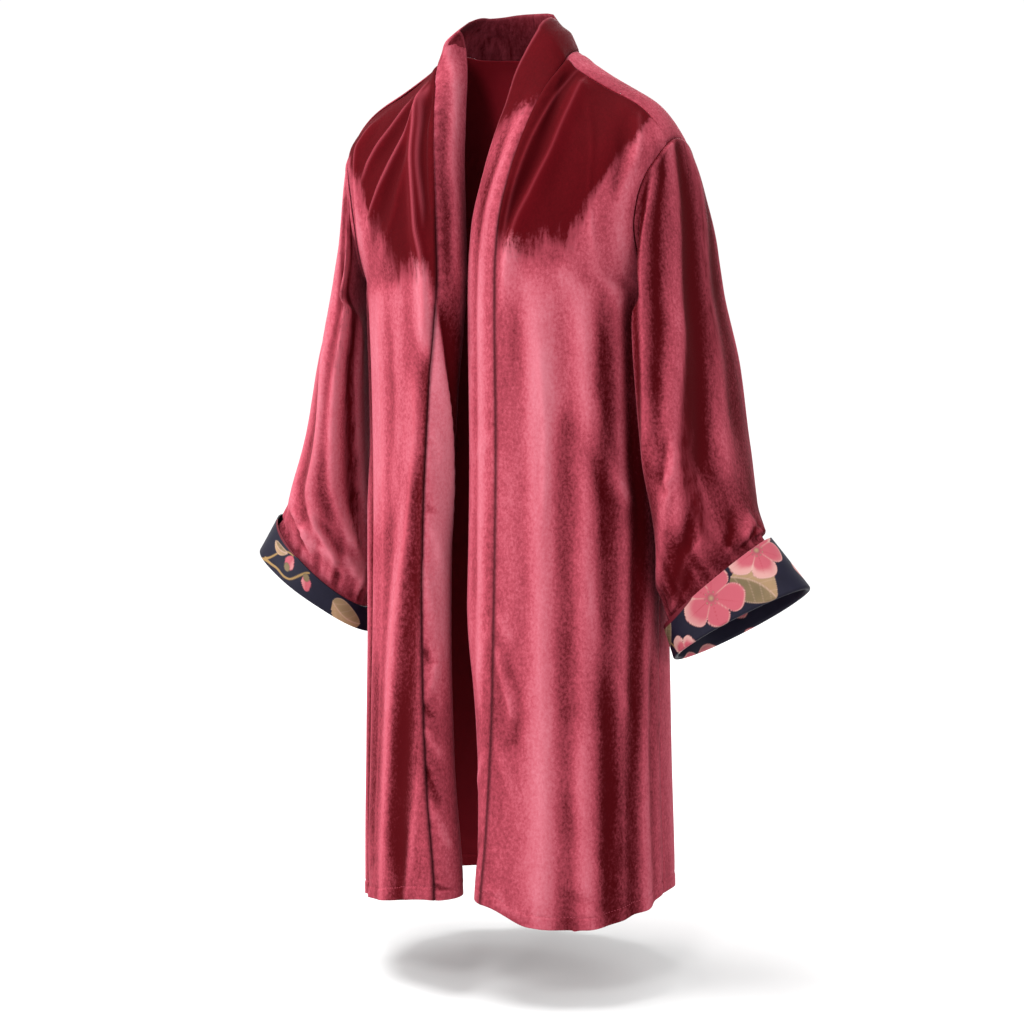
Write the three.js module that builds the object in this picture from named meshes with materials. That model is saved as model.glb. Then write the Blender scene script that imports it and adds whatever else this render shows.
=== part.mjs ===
// Velvet kimono robe, worn open with nobody in it: two fronts, a back, two sleeves with turned-back printed
// cuffs, and a folded band in two halves round the neck and down both fronts. Every piece is a cloth wall.
// Millimetres, +Z up, the front faces -Y and the wearer's left is +X. The origin is between the neck points
// of the two shoulders, where the wearer holds it up.

import * as THREE from "three";

const mix = (a, b, t) => a + (b - a) * t;
const clamp = (x, low, high) => Math.min(high, Math.max(low, x));
const ease = (t) => {
  const s = clamp(t, 0, 1);
  return s * s * (3 - 2 * s);
};
const rad = THREE.MathUtils.degToRad;
const steps = (count) => Array.from({ length: count + 1 }, (_, i) => i / count);
const vec = (x, y, z) => new THREE.Vector3(x, y, z);

// Driving dimensions
const WALL = 2; // velvet
const BAND_WALL = 3; // folded double
const CUFF_WALL = 2.6; // velvet with its printed facing
const SEAM_GAP = 0.4; // between two sewn edges
const BAND_WIDTH = 50;
const HEM_FOLD = 18; // turned up inside
const HEM_WALL = 3.4;
const UNDERARM_Z = -265;
const RIDGE_Y = 8; // top line of the shoulders
const NECK_HALF = 74; // half width of the neck, at its seam
const ROUND = 0.9; // 1 makes the body's section an ellipse, less makes it squarer
const FRONT_COLUMNS = 15;
// Shares of the way from the centre back to the shoulder seam.
const NECK_ROWS = [0, 0.2, 0.4, 0.6, 0.78, 0.9, 1];
const SHOULDER_COLUMNS = 7; // of the back, from the neck to the armhole
const UPPER_ROWS = 9; // shoulder to underarm
const LOWER_ROWS = 12; // underarm to hem
const RING_COLUMNS = 26;
const SLEEVE_ROWS = [...steps(15).map((t) => 0.83 * t), 0.865, 0.895, 0.95, 1]; // closer together at the cuff
const BAND_ACROSS = 4;
const FRONT_WIDTH = 230; // round the body, from the band to the side seam
const BACK_WIDTH = 480;
const SKIRT_LENGTH = 650; // underarm to hem
const HEM_SHARE = HEM_FOLD / SKIRT_LENGTH;
const NECK_SHARE = 0.42; // of the back's columns
const NECK_GAP = 1; // lets the standing band clear the back where they meet at an angle
const FOLD_FADE = 60; // length over which a fold of the body dies away
const CLOSING = 0.035; // share of the sleeve over which it goes from its last ring into the cuff
const GATHER = 0.9; // share of the sleeve at which it goes inside the cuff
const SLEEVE_END = 0.513; // share of the cuff at which the sleeve ends, inside it
const SLEEVE_INSET = 4.2; // how far the sleeve's end lies inside the cuff's outer face there
const ENTRY_INSET = 8.2; // and where it goes in
const HEAD = 0.2; // share of the sleeve that turns from the armhole to a ring
const ARMHOLE_GAP = 0.8; // between the sleeve and the body at their seam
const SLEEVE_CLEAR = 4.5; // and below it
const CLEAR_BY = 0.06; // share of the sleeve within which that clearance opens
const STEP = 1e-3; // for slopes
const VELVET = 0xb9465a;
const PRINT = 0x232132;

// A smooth curve through the rows of a table, by its key column: every other column is interpolated.
function through(key, rows) {
  const sorted = [...rows].sort((a, b) => a[key] - b[key]);
  const columns = Object.keys(sorted[0]).filter((name) => name !== key);
  const slope = (i, name) => {
    if (i === 0 || i === sorted.length - 1) return 0;
    const [p, q, r] = [sorted[i - 1], sorted[i], sorted[i + 1]];
    const left = (q[name] - p[name]) / (q[key] - p[key]);
    const right = (r[name] - q[name]) / (r[key] - q[key]);
    if (left * right <= 0) return 0;
    return (2 * left * right) / (left + right);
  };
  return (value) => {
    const x = clamp(value, sorted[0][key], sorted.at(-1)[key]);
    let i = 0;
    while (i < sorted.length - 2 && x > sorted[i + 1][key]) i += 1;
    const [a, b] = [sorted[i], sorted[i + 1]];
    const span = b[key] - a[key];
    const t = (x - a[key]) / span;
    const found = {};
    for (const name of columns) {
      const [sa, sb] = [slope(i, name) * span, slope(i + 1, name) * span];
      found[name] =
        a[name] * (1 + 2 * t) * (1 - t) ** 2 +
        sa * t * (1 - t) ** 2 +
        b[name] * t * t * (3 - 2 * t) +
        sb * t * t * (t - 1);
    }
    return found;
  };
}

// Body: its middle's x, half width at the side seam, depth to the front and to the back, and the y of its
// side seam.
const bodyAt = through("z", [
  { z: 0, middle: 0, side: 169, front: 126, back: 112, seam: 5 },
  { z: UNDERARM_Z, middle: 0, side: 169, front: 123, back: 112, seam: 5 },
  { z: -420, middle: 2, side: 168, front: 121, back: 114, seam: 4 },
  { z: -600, middle: 5, side: 168, front: 124, back: 128, seam: -2 },
  { z: -760, middle: 8, side: 170, front: 128, back: 142, seam: -8 },
  { z: -930, middle: 11, side: 173, front: 132, back: 156, seam: -12 },
]);

// Armhole edge: its x, and its turn in degrees round the body from the centre line.
const armholeFront = through("z", [
  { z: -100, x: 186, turn: 28 },
  { z: -119, x: 182, turn: 31 },
  { z: -139, x: 174, turn: 36 },
  { z: -165, x: 167, turn: 44 },
  { z: -199, x: 163, turn: 54 },
  { z: -240, x: 165, turn: 71 },
  { z: UNDERARM_Z, x: 169, turn: 90 },
]);
const armholeBack = through("z", [
  { z: -100, x: 186, turn: 28 },
  { z: -128, x: 183, turn: 36 },
  { z: -165, x: 177, turn: 47 },
  { z: -210, x: 171, turn: 58 },
  { z: -245, x: 168, turn: 74 },
  { z: UNDERARM_Z, x: 169, turn: 90 },
]);
const FRONT = { away: -1, roll: 190, depth: "front", armhole: armholeFront };
const BACK = { away: 1, roll: 150, depth: "back", armhole: armholeBack };

// Top line of the shoulder, by the share of the way from the neck to the armhole; the seam's share of the fall
// to the underarm, forward of that line.
const shoulderAt = through("u", [
  { u: 0, ridge: -8, seam: 0.19 },
  { u: 0.1, ridge: -17, seam: 0.2 },
  { u: 0.4, ridge: -39, seam: 0.2 },
  { u: 0.7, ridge: -58, seam: 0.2 },
  { u: 0.86, ridge: -74, seam: 0.21 },
  { u: 0.96, ridge: -90, seam: 0.215 },
  { u: 1, ridge: -100, seam: 0.22 },
]);

// Back neck, by the share of the way from the centre back to the neck point.
const neckAt = through("n", [
  { n: 0, ridge: 14, start: 0.27 },
  { n: 0.5, ridge: 10, start: 0.24 },
  { n: 0.8, ridge: 1, start: 0.16 },
  { n: 0.93, ridge: -5, start: 0 },
  { n: 1, ridge: -8, start: -0.19 },
]);

// The two sides of the robe. `edge` is where the front meets its band; `hem` is its lower edge; a fold has
// its share across the front at its top and foot, its ends, half width and rise in mm (a trough's is
// negative), and `hem` if it runs on into the hem.
// `leanAt` is the way from the band's seam to its free edge, by its place k: 0 at the centre back, 1 at the
// shoulder seam, 2 level with the underarm and 3 at the hem. Its x points to the middle of the robe; curl is
// the band's roll inward, in degrees.
const LEFT = {
  sign: 1,
  edge: through("z", [
    { z: -17, x: NECK_HALF },
    { z: -50, x: 65 },
    { z: -134, x: 45 },
    { z: -195, x: 33 },
    { z: -253, x: 29 },
    { z: -373, x: 28 },
    { z: -700, x: 25 },
    { z: -830, x: 19 },
    { z: -920, x: 12 },
  ]),
  hem: through("u", [
    { u: 0, z: -909 },
    { u: 0.2, z: -929 },
    { u: 0.42, z: -932 },
    { u: 0.8, z: -921 },
    { u: 1, z: -912 },
  ]),
  mouth: { x: 266, y: -4, z: -613, out: 75, deep: 48, lift: 44, nod: 9, yaw: 0 },
  folds: [
    { top: 0.17, foot: 0.06, from: -20, to: -345, half: 13, rise: 7 },
    { top: 0.07, foot: 0.01, from: -40, to: -320, half: 7, rise: -4 },
    { top: 0.2, foot: 0.2, from: -250, to: -930, half: 16, rise: 4, hem: true },
    { top: 0.31, foot: 0.36, from: -240, to: -930, half: 14, rise: -4, hem: true },
    { top: 0.44, foot: 0.5, from: -210, to: -930, half: 16, rise: 5, hem: true },
    { top: 0.66, foot: 0.62, from: -230, to: -930, half: 16, rise: -6, hem: true },
    { top: 0.5, foot: 0.8, from: -340, to: -520, half: 12, rise: 4 },
    { top: 0.8, foot: 0.82, from: -560, to: -930, half: 18, rise: 5, hem: true },
  ],
  leanAt: through("k", [
    { k: 0, x: 0, y: -0.2, z: 1, curl: 10 },
    { k: 0.5, x: 0.25, y: -0.3, z: 0.92, curl: 20 },
    { k: 0.85, x: 0.58, y: -0.15, z: 0.78, curl: 40 },
    { k: 1, x: 0.7, y: 0.1, z: 0.68, curl: 40 },
    { k: 1.2, x: 0.84, y: 0.3, z: 0.3, curl: 30 },
    { k: 1.4, x: 0.86, y: 0.48, z: 0.1, curl: 30 },
    { k: 1.75, x: 0.85, y: 0.52, z: 0, curl: 30 },
    { k: 2.5, x: 0.85, y: 0.52, z: 0, curl: 30 },
    { k: 2.8, x: 0.55, y: 0.83, z: 0, curl: 60 },
    { k: 3, x: 0.4, y: 0.92, z: 0, curl: 60 },
  ]),
};
const RIGHT = {
  sign: -1,
  edge: through("z", [
    { z: -17, x: NECK_HALF },
    { z: -50, x: 61 },
    { z: -104, x: 48 },
    { z: -182, x: 39 },
    { z: -240, x: 38 },
    { z: -300, x: 43 },
    { z: -373, x: 52 },
    { z: -500, x: 60 },
    { z: -612, x: 61 },
    { z: -770, x: 55 },
    { z: -920, x: 43 },
  ]),
  hem: through("u", [
    { u: 0, z: -912 },
    { u: 0.3, z: -924 },
    { u: 0.7, z: -936 },
    { u: 1, z: -946 },
  ]),
  mouth: { x: 251, y: -2, z: -605, out: 70, deep: 48, lift: 45, nod: 4, yaw: 0 },
  folds: [
    { top: 0.14, foot: 0.01, from: -20, to: -330, half: 12, rise: 8 },
    { top: 0.03, foot: 0.0, from: -60, to: -300, half: 6, rise: -3 },
    { top: 0.1, foot: 0.34, from: -330, to: -930, half: 16, rise: -4, hem: true },
    { top: 0.36, foot: 0.5, from: -250, to: -930, half: 18, rise: 4, hem: true },
    { top: 0.55, foot: 0.66, from: -280, to: -930, half: 16, rise: -5, hem: true },
    { top: 0.2, foot: 0.85, from: -40, to: -190, half: 12, rise: 4 },
    { top: 0.12, foot: 0.8, from: -70, to: -260, half: 11, rise: -4 },
    { top: 0.82, foot: 0.84, from: -500, to: -930, half: 18, rise: 5, hem: true },
  ],
  leanAt: through("k", [
    { k: 0, x: 0, y: -0.2, z: 1, curl: 10 },
    { k: 0.5, x: 0.25, y: -0.3, z: 0.92, curl: 20 },
    { k: 0.85, x: 0.52, y: -0.25, z: 0.8, curl: 50 },
    { k: 1, x: 0.56, y: -0.1, z: 0.8, curl: 50 },
    { k: 1.2, x: 0.42, y: 0.65, z: 0.5, curl: 50 },
    { k: 1.4, x: 0.34, y: 0.9, z: 0.15, curl: 50 },
    { k: 1.75, x: 0.3, y: 0.95, z: 0, curl: 60 },
    { k: 2.2, x: 0.34, y: 0.94, z: 0, curl: 90 },
    { k: 3, x: 0.36, y: 0.93, z: 0, curl: 100 },
  ]),
};

// The back's folds, by the share across its whole width from the right side seam, and its hem.
const BACK_FOLDS = [
  { top: 0.14, foot: 0.12, from: -300, to: -940, half: 20, rise: 6, hem: true },
  { top: 0.24, foot: 0.24, from: -260, to: -940, half: 18, rise: -5, hem: true },
  { top: 0.36, foot: 0.35, from: -330, to: -940, half: 20, rise: 6, hem: true },
  { top: 0.5, foot: 0.49, from: -380, to: -940, half: 26, rise: -5, hem: true },
  { top: 0.63, foot: 0.64, from: -300, to: -940, half: 20, rise: 6, hem: true },
  { top: 0.75, foot: 0.76, from: -260, to: -940, half: 18, rise: -5, hem: true },
  { top: 0.86, foot: 0.88, from: -340, to: -940, half: 20, rise: 6, hem: true },
];
const backHem = through("w", [
  { w: 0, z: -946 },
  { w: 0.5, z: -934 },
  { w: 1, z: -912 },
]);

// A point of the body at height z. `turnAt` gives its turn from the centre line out of the section there.
function onBody(face, sign, z, ridge, turnAt) {
  const body = bodyAt(z);
  const hole = face.armhole(z);
  const outer = rad(hole.turn);
  const wide = z < UNDERARM_Z ? body.side : hole.x / Math.sin(outer) ** ROUND;
  const turn = turnAt(wide, outer);
  const fall = clamp((ridge - z) / face.roll, 0, 1);
  const deep = body[face.depth] * Math.sqrt(1 - (1 - fall) ** 2) * Math.max(Math.cos(turn), 0) ** ROUND;
  const y = mix(RIDGE_Y, body.seam, fall) + face.away * deep;
  return vec(body.middle + sign * wide * Math.sin(turn) ** ROUND, y, z);
}
const turnOf = (x, wide) => Math.asin(clamp(x / wide, 0, 1) ** (1 / ROUND));

// Height of row h: the shoulder is 0, the underarm 1 and the hem 2.
function heightOf(h, start, ridge, hem) {
  if (h > 1) return mix(UNDERARM_Z, hem, h - 1);
  const roll = mix(start, 1, h);
  return mix(ridge, UNDERARM_Z, roll * roll);
}

// One front before its folds: u is 0 at the band and 1 at the side.
function frontBase(side, u, h) {
  const { ridge, seam } = shoulderAt(u);
  const z = heightOf(h, seam, ridge, side.hem(u).z);
  return onBody(FRONT, side.sign, z, ridge, (wide, outer) => mix(turnOf(side.edge(z).x, wide), outer, u));
}

// The back before its folds: w is 0 at the right side seam and 1 at the left one.
function backBase(w, h) {
  const sign = w < 0.5 ? -1 : 1;
  const across = Math.abs(2 * w - 1);
  const n = across / NECK_SHARE;
  const u = (across - NECK_SHARE) / (1 - NECK_SHARE);
  const top = n < 1 ? neckAt(n) : { ridge: shoulderAt(u).ridge, start: -shoulderAt(u).seam };
  const roll = h > 1 ? 1 : mix(top.start, 1, h);
  const z = heightOf(h, top.start, top.ridge, backHem(w).z);
  const face = roll < 0 ? FRONT : BACK;
  return onBody(face, sign, z, top.ridge, (wide, outer) => {
    const neck = turnOf(NECK_HALF, wide);
    return n < 1 ? neck * n : mix(neck, outer, u);
  });
}

// The direction out of a surface at a point of it, by small steps either way that stay within its ends.
function normalAt(surface, u, h, ends) {
  const [a, b] = [Math.max(u - STEP, ends.u[0]), Math.min(u + STEP, ends.u[1])];
  const [c, d] = [Math.max(h - STEP, ends.h[0]), Math.min(h + STEP, ends.h[1])];
  const along = surface(b, h).sub(surface(a, h));
  const down = surface(u, d).sub(surface(u, c));
  return along.cross(down).normalize();
}

// A surface with its folds: soft ridges and troughs of a table, each out along the cloth's own direction.
const FLAT = { u: [0, 1], h: [0, 2] };
function folded(base, folds, width, outward) {
  return (u, h) => {
    const point = base(u, h);
    let rise = 0;
    for (const fold of folds) {
      const down = clamp((fold.from - point.z) / (fold.from - fold.to), 0, 1);
      const off = ((u - mix(fold.top, fold.foot, down)) * width) / fold.half;
      const top = ease((fold.from - point.z) / FOLD_FADE);
      const foot = fold.hem ? 1 : ease((point.z - fold.to) / FOLD_FADE);
      rise += fold.rise * Math.exp(-off * off) * top * foot;
    }
    const free = ease(u / 0.06) * ease((1 - u) / 0.1);
    return point.addScaledVector(normalAt(base, u, h, FLAT), outward * rise * free);
  };
}

// A wall between two skins of points, closed round its rims. In a ring the last column meets the first.
function wall(outer, inner, ring = false) {
  const rows = outer.length;
  const columns = outer[0].length;
  const points = [outer, inner].flat(2);
  const at = (skin, r, c) => (skin * rows + r) * columns + (c % columns);
  const index = [];
  const quad = (a, b, c, d) => index.push(a, b, c, a, c, d);
  const last = ring ? columns : columns - 1;
  for (let r = 0; r < rows - 1; r += 1) {
    for (let c = 0; c < last; c += 1) {
      quad(at(0, r, c), at(0, r, c + 1), at(0, r + 1, c + 1), at(0, r + 1, c));
      quad(at(1, r, c), at(1, r + 1, c), at(1, r + 1, c + 1), at(1, r, c + 1));
    }
  }
  for (let c = 0; c < last; c += 1) {
    quad(at(0, 0, c), at(1, 0, c), at(1, 0, c + 1), at(0, 0, c + 1));
    quad(at(0, rows - 1, c), at(0, rows - 1, c + 1), at(1, rows - 1, c + 1), at(1, rows - 1, c));
  }
  for (let r = 0; r < rows - 1 && !ring; r += 1) {
    quad(at(0, r, 0), at(0, r + 1, 0), at(1, r + 1, 0), at(1, r, 0));
    quad(at(0, r, last), at(1, r, last), at(1, r + 1, last), at(0, r + 1, last));
  }
  return closed(points, index);
}

// A mesh from points and triangles, turned so that its faces point out.
function closed(points, index) {
  let volume = 0;
  for (let i = 0; i < index.length; i += 3) {
    const [a, b, c] = index.slice(i, i + 3).map((k) => points[k]);
    volume += a.dot(b.clone().cross(c));
  }
  const turned = volume > 0 ? index : index.toReversed();
  const geometry = new THREE.BufferGeometry();
  geometry.setAttribute("position", new THREE.Float32BufferAttribute(points.flatMap((p) => p.toArray()), 3));
  geometry.setIndex(turned);
  return geometry;
}

// A panel of cloth: its outer skin, and its inner skin one thickness in. Its sides stop short of their seams.
function panel(surface, columns, rows, inward) {
  const outer = [];
  const inner = [];
  for (const h of rows) {
    const deep = inward * (h > 2 - HEM_SHARE ? HEM_WALL : WALL);
    outer.push(columns.map((u) => surface(u, h)));
    inner.push(columns.map((u) => surface(u, h).addScaledVector(normalAt(surface, u, h, FLAT), deep)));
  }
  for (const skin of [outer, inner]) pullIn(skin, SEAM_GAP / 2);
  return wall(outer, inner);
}

// Moves a skin's rims in by a gap, along its own columns and rows.
function pullIn(skin, gap) {
  const towards = (from, to) => to.clone().sub(from).setLength(gap);
  const moves = [];
  for (const row of skin) {
    moves.push([row[0], towards(row[0], row[1])], [row.at(-1), towards(row.at(-1), row.at(-2))]);
  }
  skin[0].forEach((point, c) => moves.push([point, towards(point, skin[1][c])]));
  for (const [point, move] of moves) point.add(move);
}

const ROWS = [
  ...steps(UPPER_ROWS),
  ...steps(LOWER_ROWS)
    .slice(1, -1)
    .map((t) => 1 + t),
  2 - HEM_SHARE,
  2 - HEM_SHARE * 0.8,
  2,
];

// Sleeve rings, from the armhole to the sleeve's end: centre, half size outward and forward, the rise of the
// outer side over the centre, the rise of the front, and the turn of the ring's front towards the body.
const sleeveAt = through("s", [
  { s: 0, x: 182, y: 8, z: -184, out: 12, deep: 68, lift: 80, nod: 0, yaw: 6 },
  { s: 0.06, x: 187, y: 7, z: -194, out: 17, deep: 68, lift: 70, nod: 0, yaw: 8 },
  { s: 0.16, x: 186, y: 2, z: -222, out: 18, deep: 73, lift: 54, nod: 0, yaw: 13 },
  { s: 0.3, x: 190, y: 0, z: -275, out: 21, deep: 79, lift: 32, nod: 0, yaw: 14 },
  { s: 0.45, x: 202, y: 0, z: -350, out: 29, deep: 88, lift: 14, nod: 0, yaw: 14 },
  { s: 0.6, x: 211, y: 3, z: -430, out: 36, deep: 90, lift: 6, nod: 0, yaw: 13 },
  { s: 0.74, x: 222, y: 6, z: -500, out: 47, deep: 80, lift: 12, nod: 0, yaw: 8 },
  { s: 0.84, x: 230, y: 4, z: -546, out: 56, deep: 62, lift: 32, nod: 0, yaw: 4 },
  { s: 0.9, x: 236, y: 0, z: -569, out: 52, deep: 44, lift: 46, nod: 0, yaw: 0 },
]);
const SLEEVE_FOLDS = [
  { at: 0.03, drift: 0.0, from: 0.05, to: 0.8, half: 0.045, rise: 7 },
  { at: 0.11, drift: 0.02, from: 0.1, to: 0.86, half: 0.04, rise: -6 },
  { at: 0.19, drift: 0.02, from: 0.12, to: 0.8, half: 0.045, rise: 6 },
  { at: 0.3, drift: -0.02, from: 0.3, to: 0.86, half: 0.04, rise: -5 },
  { at: 0.68, drift: 0.02, from: 0.2, to: 0.85, half: 0.05, rise: -6 },
  { at: 0.77, drift: 0.0, from: 0.15, to: 0.8, half: 0.045, rise: 6 },
  { at: 0.88, drift: -0.02, from: 0.1, to: 0.85, half: 0.05, rise: -6 },
];

// The cuff's rings, from the top edge of the turned-back part (0) to the fold at its mouth (1).
const CUFF_TOP = { x: 237, y: 0, z: -570, out: 58, deep: 52, lift: 51.5, nod: 0, yaw: 0 };
function cuffAt(side, t) {
  const row = {};
  for (const name of Object.keys(CUFF_TOP)) row[name] = mix(CUFF_TOP[name], side.mouth[name], t);
  return row;
}

// A ring of a table such as the sleeve's at the turn a, from 0 on top through 0.25 in front.
function ringPoint(row, a, swell) {
  const angle = 2 * Math.PI * a;
  const [c, s] = [Math.cos(angle), Math.sin(angle)];
  const yaw = rad(row.yaw);
  const size = Math.hypot(row.out, row.lift);
  const grow = 1 + swell / size;
  const out = row.out * c * grow;
  const forward = (row.deep + swell) * s;
  return vec(
    row.x + out * Math.cos(yaw) - forward * Math.sin(yaw),
    row.y - out * Math.sin(yaw) - forward * Math.cos(yaw),
    row.z + row.lift * c * grow + row.nod * s,
  );
}

// The armhole's edge at the turn a, from the body's own panels.
function armholePoint(a) {
  const forward = a <= 0.5;
  const roll = forward ? a / 0.5 : (1 - a) / 0.5;
  const { ridge } = shoulderAt(1);
  const z = mix(ridge, UNDERARM_Z, roll * roll);
  return onBody(forward ? FRONT : BACK, 1, z, ridge, (wide, outer) => outer);
}

function sleevePoint(side, s, a) {
  let swell = 0;
  for (const fold of SLEEVE_FOLDS) {
    const turn = a - fold.at - fold.drift * s;
    const off = (turn - Math.round(turn)) / fold.half;
    const fade = ease((s - fold.from) / 0.12) * ease((fold.to - s) / 0.1);
    swell += fold.rise * Math.exp(-off * off) * fade;
  }
  const inside = (s - GATHER) / (1 - GATHER); // share of the way from the cuff's top edge to the sleeve's end
  const inset = mix(ENTRY_INSET, SLEEVE_INSET, inside);
  const end = ringPoint(cuffAt(side, mix(0, SLEEVE_END, inside)), a, swell * (1 - inside) - inset);
  const ring = ringPoint(sleeveAt(s), a, swell).lerp(end, ease((s - GATHER) / CLOSING / 2 + 1));
  const head = armholePoint(a);
  const point = head.lerp(ring, ease(s / HEAD));
  const clear = mix(ARMHOLE_GAP, SLEEVE_CLEAR, ease(s / CLEAR_BY));
  point.x = Math.max(point.x, bodySide(side, point) + clear);
  return point;
}

// How far out the body reaches beside a point of the sleeve: its armhole's edge, and its section below that.
function bodySide(side, point) {
  const body = bodyAt(point.z);
  const forward = point.y < body.seam;
  const share = Math.min(Math.abs(point.y - body.seam) / (forward ? body.front : body.back), 1);
  const section = side.sign * body.middle + body.side * (1 - share ** (2 / ROUND)) ** (ROUND / 2);
  const hole = (forward ? armholeFront : armholeBack)(point.z).x;
  return mix(hole, section, ease((UNDERARM_Z - point.z) / 40));
}

function sleeve(side) {
  const turns = steps(RING_COLUMNS).slice(0, -1);
  const around = { u: [0, 1], h: [-1, 2] };
  const surface = (s, a) => sleevePoint(side, s, a - Math.floor(a));
  const outer = SLEEVE_ROWS.map((s) => turns.map((a) => surface(s, a)));
  const inner = SLEEVE_ROWS.map((s, r) =>
    turns.map((a, c) => outer[r][c].clone().addScaledVector(normalAt(surface, s, a, around), WALL)),
  );
  const rim = cuffAt(side, SLEEVE_END);
  inner[inner.length - 1] = turns.map((a) => ringPoint(rim, a, -SLEEVE_INSET - WALL));
  inner[0].forEach((point, c) => {
    point.x = Math.max(point.x, outer[0][c].x);
  });
  for (const point of [outer, inner].flat(2)) point.x *= side.sign;
  return wall(outer, inner, true);
}

// Once round the cuff's wall: its place along the cuff and how far it lies inside the outer face.
const CUFF_SECTION = [
  { t: 0, inset: 0 },
  { t: 0.35, inset: 0 },
  { t: 0.7, inset: 0 },
  { t: 0.95, inset: 0.5 },
  { t: 1, inset: 3.1 },
  { t: 0.95, inset: 5.8 },
  { t: 0.75, inset: 6.2 },
  { t: 0.52, inset: 6.2 },
  { t: 0.52, inset: 4.2 },
  { t: 0.75, inset: 4.2 },
  { t: 0.91, inset: 3.3 },
  { t: 0.7, inset: CUFF_WALL },
  { t: 0.35, inset: CUFF_WALL },
  { t: 0, inset: CUFF_WALL },
];
function cuff(side) {
  const turns = steps(RING_COLUMNS).slice(0, -1);
  const points = CUFF_SECTION.map(({ t, inset }) => turns.map((a) => ringPoint(cuffAt(side, t), a, -inset)));
  for (const point of points.flat()) point.x *= side.sign;
  const index = [];
  const at = (r, c) => (r % points.length) * turns.length + (c % turns.length);
  for (let r = 0; r < points.length; r += 1) {
    for (let c = 0; c < turns.length; c += 1) {
      index.push(at(r, c), at(r, c + 1), at(r + 1, c + 1), at(r, c), at(r + 1, c + 1), at(r + 1, c));
    }
  }
  return closed(points.flat(), index);
}


// One half of the band, from the centre back round the neck and down the front edge.
function band(side, frontSurface) {
  const seams = [];
  for (const n of NECK_ROWS.slice(0, -1)) {
    const w = 0.5 + (side.sign * NECK_SHARE * n) / 2;
    seams.push({ k: n, gap: NECK_GAP, at: backBase(w, 0), out: normalAt(backBase, w, 0, FLAT) });
  }
  for (const h of ROWS) {
    const out = normalAt(frontSurface, 0, h, FLAT).multiplyScalar(-side.sign);
    const gap = NECK_GAP * ease(1 - h / 0.3);
    seams.push({ k: 1 + h, gap, at: frontSurface(0, h), out });
  }
  const outer = [];
  const inner = [];
  seams.forEach(({ k, gap, at, out }, i) => {
    const lean = side.leanAt(k);
    const way = vec(-side.sign * lean.x, lean.y, lean.z).normalize();
    const along = (seams[i + 1] ?? seams[i]).at.clone().sub((seams[i - 1] ?? seams[0]).at).normalize();
    const face = along.clone().cross(way).multiplyScalar(-side.sign).normalize();
    const curl = rad(lean.curl);
    const rows = steps(BAND_ACROSS).map((q) => {
      // The arc of a circle whose chord's direction is the way.
      const [from, to] = [-curl / 2, curl * (q - 0.5)];
      const ahead = (BAND_WIDTH / curl) * (Math.sin(to) - Math.sin(from)) + gap;
      const bulge = (BAND_WIDTH / curl) * (Math.cos(to) - Math.cos(from));
      const point = at.clone().addScaledVector(way, ahead).addScaledVector(face, bulge);
      const skin = face.clone().multiplyScalar(Math.cos(to)).addScaledVector(way, Math.sin(to));
      return [point, point.clone().addScaledVector(q === 0 ? out : skin, -BAND_WALL)];
    });
    outer.push(rows.map(([point]) => point));
    inner.push(rows.map(([, point]) => point));
  });
  for (const skin of [outer, inner]) pullIn(skin, SEAM_GAP / 2);
  return wall(outer, inner);
}

const robe = new THREE.Group();
function add(name, geometry, color) {
  const material = new THREE.MeshStandardMaterial({ color, roughness: 0.6, metalness: 0 });
  const mesh = new THREE.Mesh(geometry, material);
  mesh.name = name;
  robe.add(mesh);
}
for (const [name, side] of [["front_left", LEFT], ["front_right", RIGHT]]) {
  const surface = folded((u, h) => frontBase(side, u, h), side.folds, FRONT_WIDTH, -side.sign);
  add(name, panel(surface, steps(FRONT_COLUMNS), ROWS, side.sign), VELVET);
  add(name.replace("front", "neckband"), band(side, surface), VELVET);
}
const backSurface = folded(backBase, BACK_FOLDS, BACK_WIDTH, 1);
const half = [
  ...NECK_ROWS.map((n) => n * NECK_SHARE),
  ...steps(SHOULDER_COLUMNS).slice(1).map((u) => mix(NECK_SHARE, 1, u)),
];
const backColumns = [...half.slice(1).reverse().map((across) => -across), ...half].map((x) => (1 + x) / 2);
add("back", panel(backSurface, backColumns, ROWS, -1), VELVET);
add("sleeve_left", sleeve(LEFT), VELVET);
add("sleeve_right", sleeve(RIGHT), VELVET);
add("cuff_left", cuff(LEFT), PRINT);
add("cuff_right", cuff(RIGHT), PRINT);

export default robe;
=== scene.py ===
"""Dresses a velvet kimono robe, worn open with nobody in it, as shells of cloth.

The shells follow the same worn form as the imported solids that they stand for, and add the folds, the sewing
and the cuffs' print. Sizes are millimetres and degrees in the robe's own frame (+Z up, front -Y, the wearer's
left +X), and meshes are made in metres.
"""

import logging
import math
from dataclasses import dataclass, field
from enum import Enum
from typing import Callable, Optional, Sequence, Union

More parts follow.
